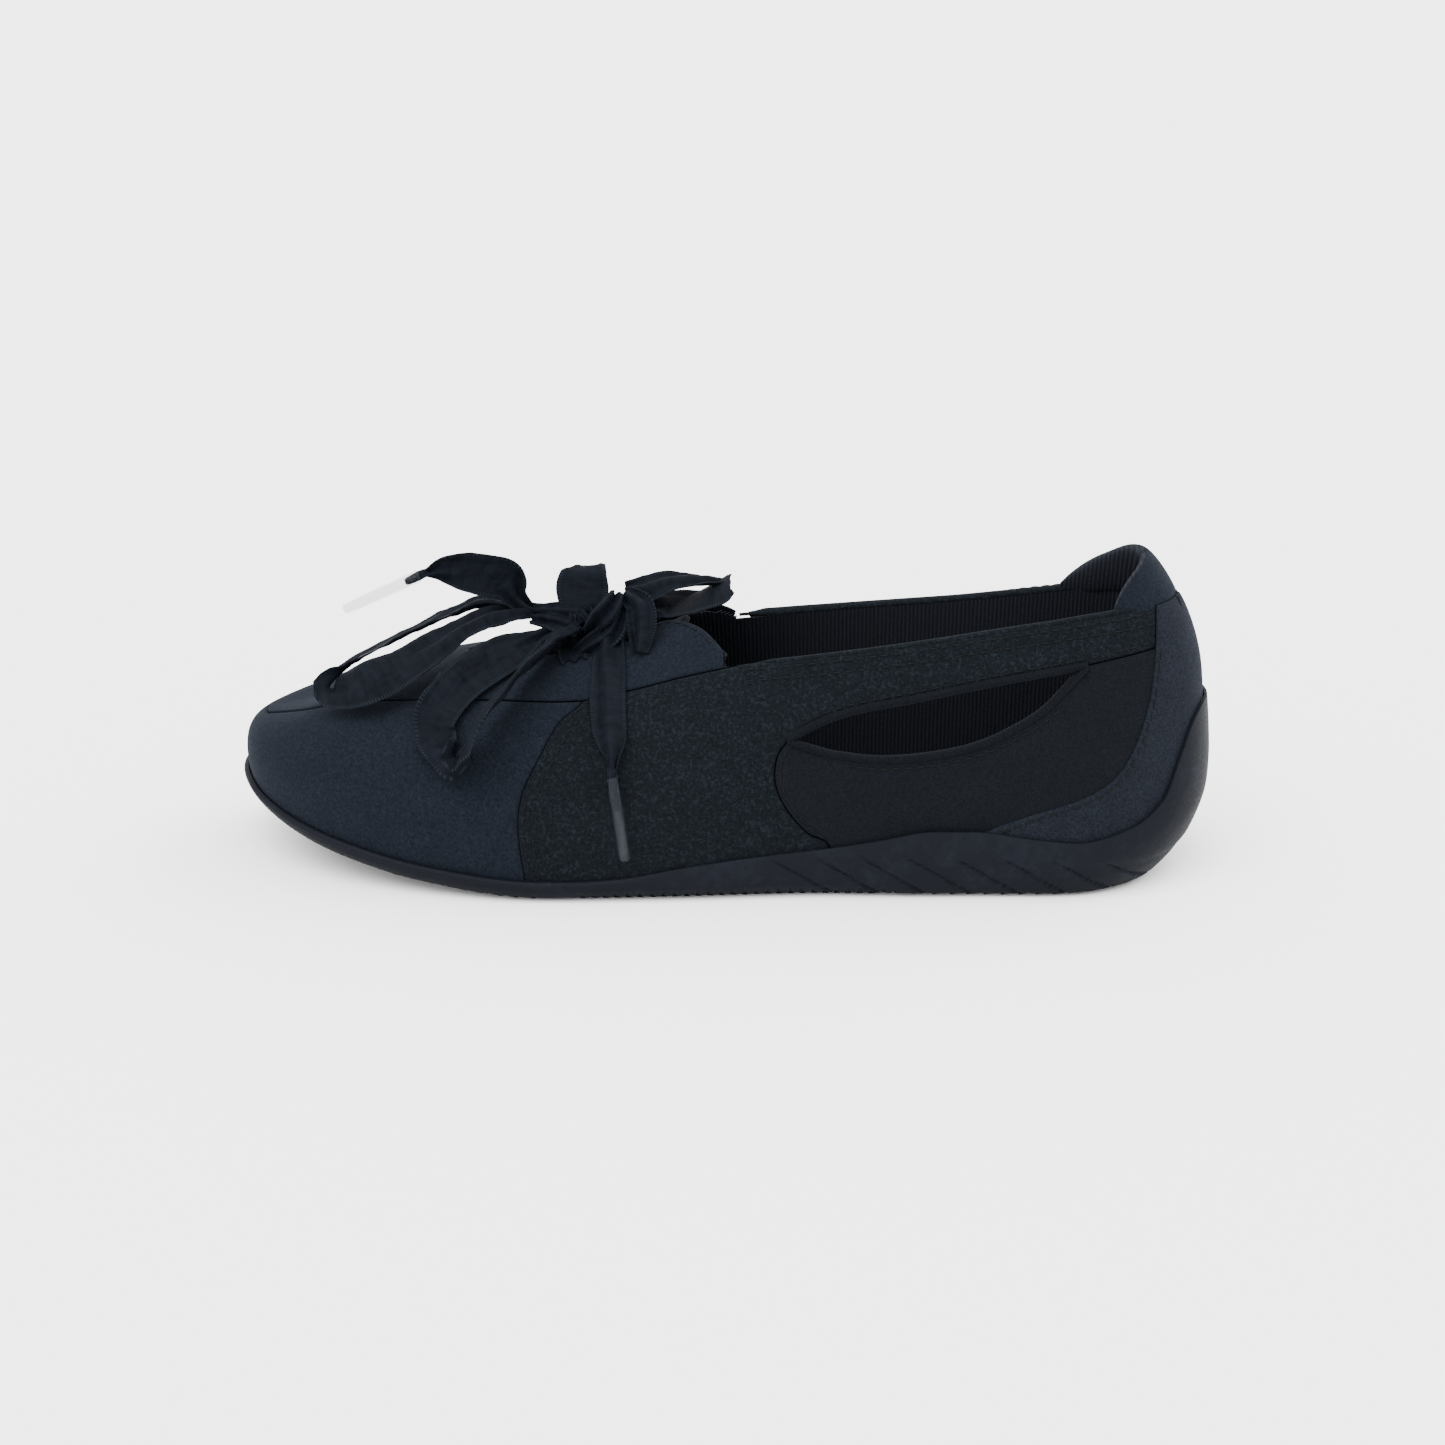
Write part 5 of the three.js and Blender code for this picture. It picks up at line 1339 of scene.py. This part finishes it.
hang("leaf", "shoe", "folded", ["leaf"], folds=1.4, seed=7, cup=0.6, crease=0.6)


# ---------- knot ----------
def wrap(name, centre, axis, first, radii, width, seed, folds=2.2):
    """A band of ribbon wound round the knot."""
    axis = unit(np.array(axis, float))
    first = unit(np.array(first, float) - np.dot(first, axis) * axis)
    second = np.cross(axis, first)
    turn = np.linspace(0, 2 * np.pi, 70)
    middle = BOW + np.array(centre) * MM
    centres = (middle + np.outer(np.cos(turn) * radii[0] * MM, first)
               + np.outer(np.sin(turn) * radii[1] * MM, second))
    across = np.broadcast_to(axis, centres.shape)
    widths = np.full(len(turn), width * MM) * (0.85 + 0.25 * np.sin(turn * 2 + seed))
    piece, long = ribbon_piece(name, centres, across, widths, folds, seed, clear=False, cup=-0.5, crease=0.6)
    paint(piece, RIBBON, body="shoe")
    return piece


def knot_core():
    """The crumpled ribbon inside the knot."""
    ball = bmesh.new()
    bmesh.ops.create_icosphere(ball, subdivisions=5, radius=1)
    points, uv = [], []
    size = np.array(KNOT_HIGH - KNOT_LOW) / 2 * [0.86, 0.86, 0.86]
    for v in ball.verts:
        p = np.array(v.co)
        crease = abs(noise.noise(Vector(p * [1.2, 3.2, 2.6]) + Vector((3, 1, 2)))) * 2.2
        crease += 0.4 * abs(noise.noise(Vector(p * [3.5, 7.5, 6.5])))
        points.append(BOW + [-4 * MM, 0, -1 * MM] + p * size * (1.08 - 0.42 * crease))
        uv.append((p[1] * RIBBON_WIDTH * 0.3 + RIBBON_WIDTH / 2, p[0] * 6 * MM))
    faces = [tuple(v.index for v in f.verts) for f in ball.faces]
    ball.free()
    return make_mesh("knot_core", points, faces, sharp=80, uv=np.array(uv))


paint(knot_core(), RIBBON, nodes=["knot"])
wrap("knot_band_over", (-4.2, -1.2, -0.8), (1, 0.35, 0.3), (0, -1, 0.2), (5.6, 3.9), 6, 11)
wrap("knot_band_across", (-6.5, -0.5, -0.8), (0.85, -0.45, 0.25), (0, -1, 0), (5.2, 3.8), 7.0, 12)
wrap("knot_band_rear", (-1.2, -1.8, -1.6), (0.9, 0.3, -0.2), (0, -1, 0.1), (4.4, 3.2), 5.0, 13)


def lace_bar(name, s):
    """A cross run of ribbon that dips through a pair of slots."""
    x, rim = float(along(s)), HOLE_OUT - HOLE_WIDE / 2
    steps = [(-HOLE_OUT - 0.5 * MM, -2.4), (-HOLE_OUT + 0.2 * MM, -0.4), (-rim, 0.75), (-SLIT_HALF, 0.9),
             (0, 1.0), (SLIT_HALF, 0.9), (rim, 0.75), (HOLE_OUT - 0.2 * MM, -0.4),
             (HOLE_OUT + 0.5 * MM, -2.4)]
    plan = np.array([[x, MIDDLE + y] for y, _ in steps])
    places, _ = from_above(plan)
    places[:, 2] += np.array([lift for _, lift in steps]) * MM + RISE["apron"]
    path = knotted_path(places, np.linspace(0, 1, 44))
    across = np.broadcast_to([1.0, 0, 0], path.shape)
    widths = np.full(len(path), 5.6 * MM)
    piece, long = ribbon_piece(name + "_ribbon", path, across, widths, 1.5, s * 9, clear=False, cup=-0.3,
                               crease=0.3)
    paint(piece, RIBBON, nodes=[name])


lace_bar("bar_front", HOLE_STATIONS[0])
lace_bar("bar_rear", HOLE_STATIONS[1])


# ---------- sewing and tread, by geometry nodes ----------
def node_tree(name, sizes):
    tree = bpy.data.node_groups.new(name, "GeometryNodeTree")
    tree.interface.new_socket("Geometry", in_out="INPUT", socket_type="NodeSocketGeometry")
    for label, value in sizes.items():
        socket = tree.interface.new_socket(label, in_out="INPUT", socket_type="NodeSocketFloat")
        socket.default_value = value
    tree.interface.new_socket("Geometry", in_out="OUTPUT", socket_type="NodeSocketGeometry")
    return tree, tree.nodes.new("NodeGroupInput"), tree.nodes.new("NodeGroupOutput")


def wire(tree, *pairs):
    for source, target in pairs:
        tree.links.new(source, target)


def stitch_tree():
    """Lays one thread stitch at every pitch along each path, flat on the cloth."""
    tree, source, end = node_tree("stitches_along_seams",
                                  {"pitch": 3.2 * MM, "stitch length": 2.5 * MM, "thread width": 0.62 * MM})
    new = tree.nodes.new
    path, even_out, put, real, skin = (new("GeometryNodeMeshToCurve"), new("GeometryNodeResampleCurve"),
                                       new("GeometryNodeInstanceOnPoints"), new("GeometryNodeRealizeInstances"),
                                       new("GeometryNodeSetMaterial"))
    even_out.mode = "LENGTH"
    tangent, up = new("GeometryNodeInputTangent"), new("GeometryNodeInputNamedAttribute")
    turn = new("FunctionNodeAxesToRotation")
    up.data_type = "FLOAT_VECTOR"
    up.inputs["Name"].default_value = "up"
    turn.primary_axis, turn.secondary_axis = "Z", "X"
    bead, size = new("GeometryNodeMeshIcoSphere"), new("ShaderNodeCombineXYZ")
    shape = new("GeometryNodeTransform")
    bead.inputs["Radius"].default_value = 0.5
    bead.inputs["Subdivisions"].default_value = 2
    skin.inputs["Material"].default_value = THREAD
    wire(tree, (source.outputs["Geometry"], path.inputs["Mesh"]), (path.outputs["Curve"], even_out.inputs["Curve"]),
         (source.outputs["pitch"], even_out.inputs["Length"]), (even_out.outputs["Curve"], put.inputs["Points"]),
         (source.outputs["stitch length"], size.inputs["X"]), (source.outputs["thread width"], size.inputs["Y"]),
         (source.outputs["thread width"], size.inputs["Z"]), (bead.outputs["Mesh"], shape.inputs["Geometry"]),
         (size.outputs["Vector"], shape.inputs["Scale"]), (shape.outputs["Geometry"], put.inputs["Instance"]),
         (up.outputs["Attribute"], turn.inputs["Primary Axis"]),
         (tangent.outputs["Tangent"], turn.inputs["Secondary Axis"]),
         (turn.outputs["Rotation"], put.inputs["Rotation"]), (put.outputs["Instances"], real.inputs["Geometry"]),
         (real.outputs["Geometry"], skin.inputs["Geometry"]), (skin.outputs["Geometry"], end.inputs["Geometry"]))
    return tree


def grow_from(name, places, ups, edges, tree, sizes=None, attributes=None):
    """Runs a node tree over a set of points or paths and returns one plain piece."""
    mesh = bpy.data.meshes.new(name + "_path")
    mesh.from_pydata([tuple(map(float, p)) for p in places], edges, [])
    layers = {"up": ups}
    layers.update(attributes or {})
    for label, values in layers.items():
        layer = mesh.attributes.new(label, "FLOAT_VECTOR", "POINT")
        layer.data.foreach_set("vector", np.asarray(values, np.float32).ravel())
    seed = bpy.data.objects.new(name + "_path", mesh)
    scene.collection.objects.link(seed)
    work = seed.modifiers.new("grow", "NODES")
    work.node_group = tree
    for item in tree.interface.items_tree:
        if item.item_type == "SOCKET" and item.in_out == "INPUT" and sizes and item.name in sizes:
            work[item.identifier] = sizes[item.name]
    plain = bpy.data.meshes.new_from_object(seed.evaluated_get(bpy.context.evaluated_depsgraph_get()))
    plain.name = name
    seed.modifiers.remove(work)
    bpy.data.objects.remove(seed, do_unlink=True)
    plain.shade_smooth()
    piece = bpy.data.objects.new(name, plain)
    scene.collection.objects.link(piece)
    return piece


def inset_line(q, far):
    """Moves a line on the face sideways by a distance, to its left as it runs."""
    p, n = face_at(q[:, 0], q[:, 1]), normal_at(q[:, 0], q[:, 1])
    side, _ = frames_along(p, n, False)
    run_t, run_h = slopes_at(q[:, 0], q[:, 1])
    tt, th, hh = (run_t * run_t).sum(-1), (run_t * run_h).sum(-1), (run_h * run_h).sum(-1)
    bt, bh = (run_t * side).sum(-1) * far, (run_h * side).sum(-1) * far
    det = tt * hh - th * th
    return q + np.stack([(bt * hh - bh * th) / det, (tt * bh - th * bt) / det], -1)


def seam_rows():
    """Every row of sewing: its path on the face, how far in from the seam, and how proud it stands."""
    rows = []
    for side, span in (("lateral", (0.0, 0.5)), ("medial", (0.5, 1.0))):
        turn = 1 if side == "lateral" else -1

        def add(line, fars, out, low=None, high=None):
            pts = side_line(line, 0.9 * MM)
            if low is not None:
                pts = pts[(pts[:, 0] >= along(low)) & (pts[:, 0] <= along(high))]
            q, miss = locate(pts, [0, 2], span)
            q = q[miss < 0.05 * MM]
            for far in fars:
                rows.append((inset_line(q, far * MM * turn), out))

        add(VAMP_SEAM[1:], (-1.4, -3.6), RISE["quarter"])
        add(COLLAR, (1.7, 4.6), RISE["quarter"], 0.54, 0.935)
        add(STRAP_EDGE, (-1.7,), RISE["quarter"], 0.6, 0.87)
        add(STRAP_REAR, (-1.7,), RISE["quarter"], 0.88, 0.937)
        add(PANEL_FRONT[:-1], (-1.5,), RISE["panel"])
        add(CUTOUT_LOW, (-2.4,), RISE["panel"], 0.64, 0.84)
        add(OVERLAY_FRONT[1:-1], (-1.5,), RISE["overlay"])
    return rows


def sole_gap(p):
    """Which points stand clear above the edge of the sole."""
    s = p[:, 0] / LENGTH + 0.5
    return p[:, 2] > tall(curve(SOLE_EDGE, s)) + 0.8 * MM


def make_stitches():
    places, ups, edges = [], [], []

    def put(p, n, keep):
        running = False
        for k in range(len(p)):
            if keep[k]:
                places.append(p[k])
                ups.append(n[k])
                if running:
                    edges.append((len(places) - 2, len(places) - 1))
            running = bool(keep[k])

    for q, out in seam_rows():
        q = q[(q[:, 1] > 0) & (q[:, 1] < 1)]
        if len(q) < 4:
            continue
        n = normal_at(q[:, 0], q[:, 1])
        p = face_at(q[:, 0], q[:, 1])
        plan_in = inside(p[:, :2], APRON) & (p[:, 2] > tall(0.3))
        keep = sole_gap(p) & ~plan_in & ~inside(p[:, [0, 2]], ABOVE_COLLAR)
        put(p + n * (out + 0.08 * MM), n, keep)
    for line, far in ((APRON_NEAR, 1.5), (APRON_FAR, -1.5)):
        plan = even(line, 0.9 * MM)
        way = unit(np.gradient(plan, axis=0))
        plan = plan + np.stack([way[:, 1], -way[:, 0]], -1) * far * MM * (-1 if line is APRON_NEAR else 1)
        plan = plan[inside(plan, APRON) & ~inside(plan, THROAT)]
        p, n = from_above(plan)
        put(p + n * (RISE["apron"] + 0.08 * MM), n, ~inside(p[:, [0, 2]], ABOVE_COLLAR))
    rim = throat_outline(1.7 * MM)[1:-1]
    plan = even(rim, 0.9 * MM)
    plan = plan[inside(plan, APRON)]
    p, n = from_above(plan)
    keep = (p[:, 0] < along(0.5)) & ~inside(p[:, [0, 2]], ABOVE_COLLAR)
    put(p + n * (RISE["apron"] + 0.08 * MM), n, keep)
    tree = stitch_tree()
    sizes = {"pitch": 3.1 * MM, "stitch length": 2.4 * MM, "thread width": 0.5 * MM}
    return grow_from("seam_stitches", places, ups, edges, tree, sizes)


paint(make_stitches(), THREAD)


def tread_tree():
    """Stands a rounded rubber rib on each point, scaled to that point's own size."""
    tree, source, end = node_tree("ribs_under_the_sole", {"rib height": 1.0 * MM})
    new = tree.nodes.new
    put, real = new("GeometryNodeInstanceOnPoints"), new("GeometryNodeRealizeInstances")
    skin = new("GeometryNodeSetMaterial")
    up, way, size, turn = (new("GeometryNodeInputNamedAttribute"), new("GeometryNodeInputNamedAttribute"),
                           new("GeometryNodeInputNamedAttribute"), new("FunctionNodeAxesToRotation"))
    for node, label in ((up, "up"), (way, "way"), (size, "size")):
        node.data_type = "FLOAT_VECTOR"
        node.inputs["Name"].default_value = label
    turn.primary_axis, turn.secondary_axis = "Z", "X"
    block, lift = new("GeometryNodeMeshCube"), new("GeometryNodeTransform")
    block.inputs["Size"].default_value = (1, 1, 1)
    down = new("ShaderNodeCombineXYZ")
    scale = new("ShaderNodeVectorMath")
    scale.operation = "MULTIPLY"
    high = new("ShaderNodeCombineXYZ")
    high.inputs["X"].default_value = high.inputs["Y"].default_value = 1
    down.inputs["Z"].default_value = -0.5
    skin.inputs["Material"].default_value = RUBBER
    wire(tree, (block.outputs["Mesh"], lift.inputs["Geometry"]),
         (down.outputs["Vector"], lift.inputs["Translation"]),
         (lift.outputs["Geometry"], put.inputs["Instance"]), (source.outputs["Geometry"], put.inputs["Points"]),
         (up.outputs["Attribute"], turn.inputs["Primary Axis"]),
         (way.outputs["Attribute"], turn.inputs["Secondary Axis"]),
         (turn.outputs["Rotation"], put.inputs["Rotation"]), (source.outputs["rib height"], high.inputs["Z"]),
         (size.outputs["Attribute"], scale.inputs[0]), (high.outputs["Vector"], scale.inputs[1]),
         (scale.outputs["Vector"], put.inputs["Scale"]), (put.outputs["Instances"], real.inputs["Geometry"]),
         (real.outputs["Geometry"], skin.inputs["Geometry"]), (skin.outputs["Geometry"], end.inputs["Geometry"]))
    return tree


def under_outline(inset):
    """The edge of the flat of the sole in plan."""
    t = np.arange(600) / 600
    s = outline_at(t)[:, 0]
    z = tall(curve(SPRING, s)) + 1.0 * MM
    return plan_point(t, z, curve(WALL_ROOM, s) * MM - inset)


def make_tread():
    """Cross ribs under the waist and the ball, slanted ribs under the heel, each cut to the outline."""
    rim = under_outline(0.4 * MM)
    places, ups, ways, sizes = [], [], [], []
    ends = np.roll(rim, -1, 0)

    def bar(x, lean, deep, gap_at=None):
        """A rib across the sole at x, leaning by lean metres of x for each metre of y."""
        offs = (rim[:, 0] - x - lean * rim[:, 1]), (ends[:, 0] - x - lean * ends[:, 1])
        hit = (offs[0] > 0) != (offs[1] > 0)
        f = offs[0][hit] / (offs[0][hit] - offs[1][hit])
        ys = np.sort(rim[hit][:, 1] + f * (ends[hit][:, 1] - rim[hit][:, 1]))
        if len(ys) < 2:
            return
        low, high = ys[0] + 0.8 * MM, ys[-1] - 0.8 * MM
        spans = [(low, high)] if gap_at is None else [(low, MIDDLE - gap_at), (MIDDLE + gap_at, high)]
        for a, b in spans:
            if b - a < 3 * MM:
                continue
            middle = (a + b) / 2
            at = x + lean * middle
            base = float(tall(curve(SPRING, at / LENGTH + 0.5))) + 1.0 * MM
            ahead = float(tall(curve(SPRING, (at + 2 * MM) / LENGTH + 0.5))) + 1.0 * MM
            up = unit(np.array([-(ahead - base) / (2 * MM), 0, 1.0]))
            places.append((at, middle, base))
            ups.append(up)
            ways.append(unit(np.array([lean, 1.0, 0])))
            sizes.append(((b - a) * math.hypot(1, lean), deep, 1.0))

    for k in range(26):
        bar((-31.5 + 3 * k) * MM, 0.0, 1.7 * MM)
    for k in range(19):
        bar((-118 + 4.6 * k) * MM, 0.22, 2.4 * MM, 1.4 * MM)
    for k in range(16):
        bar((49 + 4.6 * k) * MM, -0.35, 2.4 * MM, 1.4 * MM)
    tree = tread_tree()
    extra = {"way": ways, "size": sizes}
    piece = grow_from("tread_ribs", places, ups, [], tree, {"rib height": 0.92 * MM}, extra)
    piece.data.set_sharp_from_angle(angle=math.radians(30))
    return piece


paint(make_tread(), RUBBER)


# ---------- floor and light ----------
def make_stage():
    mesh = bpy.data.meshes.new("floor")
    mesh.from_pydata([(-30, -30, 0), (30, -30, 0), (30, 30, 0), (-30, 30, 0)], [], [(0, 1, 2, 3)])
    floor = bpy.data.objects.new("floor", mesh)
    scene.collection.objects.link(floor)
    f = Finish("pale_floor", (0.9, 0.9, 0.9, 1), 1.0, Specular_IOR_Level=0.0)
    mesh.materials.append(f.material)
    world = bpy.data.worlds.new("studio")
    world.use_nodes = True
    world.node_tree.nodes["Background"].inputs["Color"].default_value = (1, 1, 1, 1)
    world.node_tree.nodes["Background"].inputs["Strength"].default_value = 2.9
    scene.world = world
    for name, strength, tilt, turn in (("key", 4.6, 30, -25), ("rim", 3.0, 48, 120)):
        data = bpy.data.lights.new(name, "SUN")
        data.energy, data.angle = strength, math.radians(50)
        lamp = bpy.data.objects.new(name, data)
        lamp.rotation_euler = (math.radians(tilt), 0, math.radians(turn))
        scene.collection.objects.link(lamp)


make_stage()
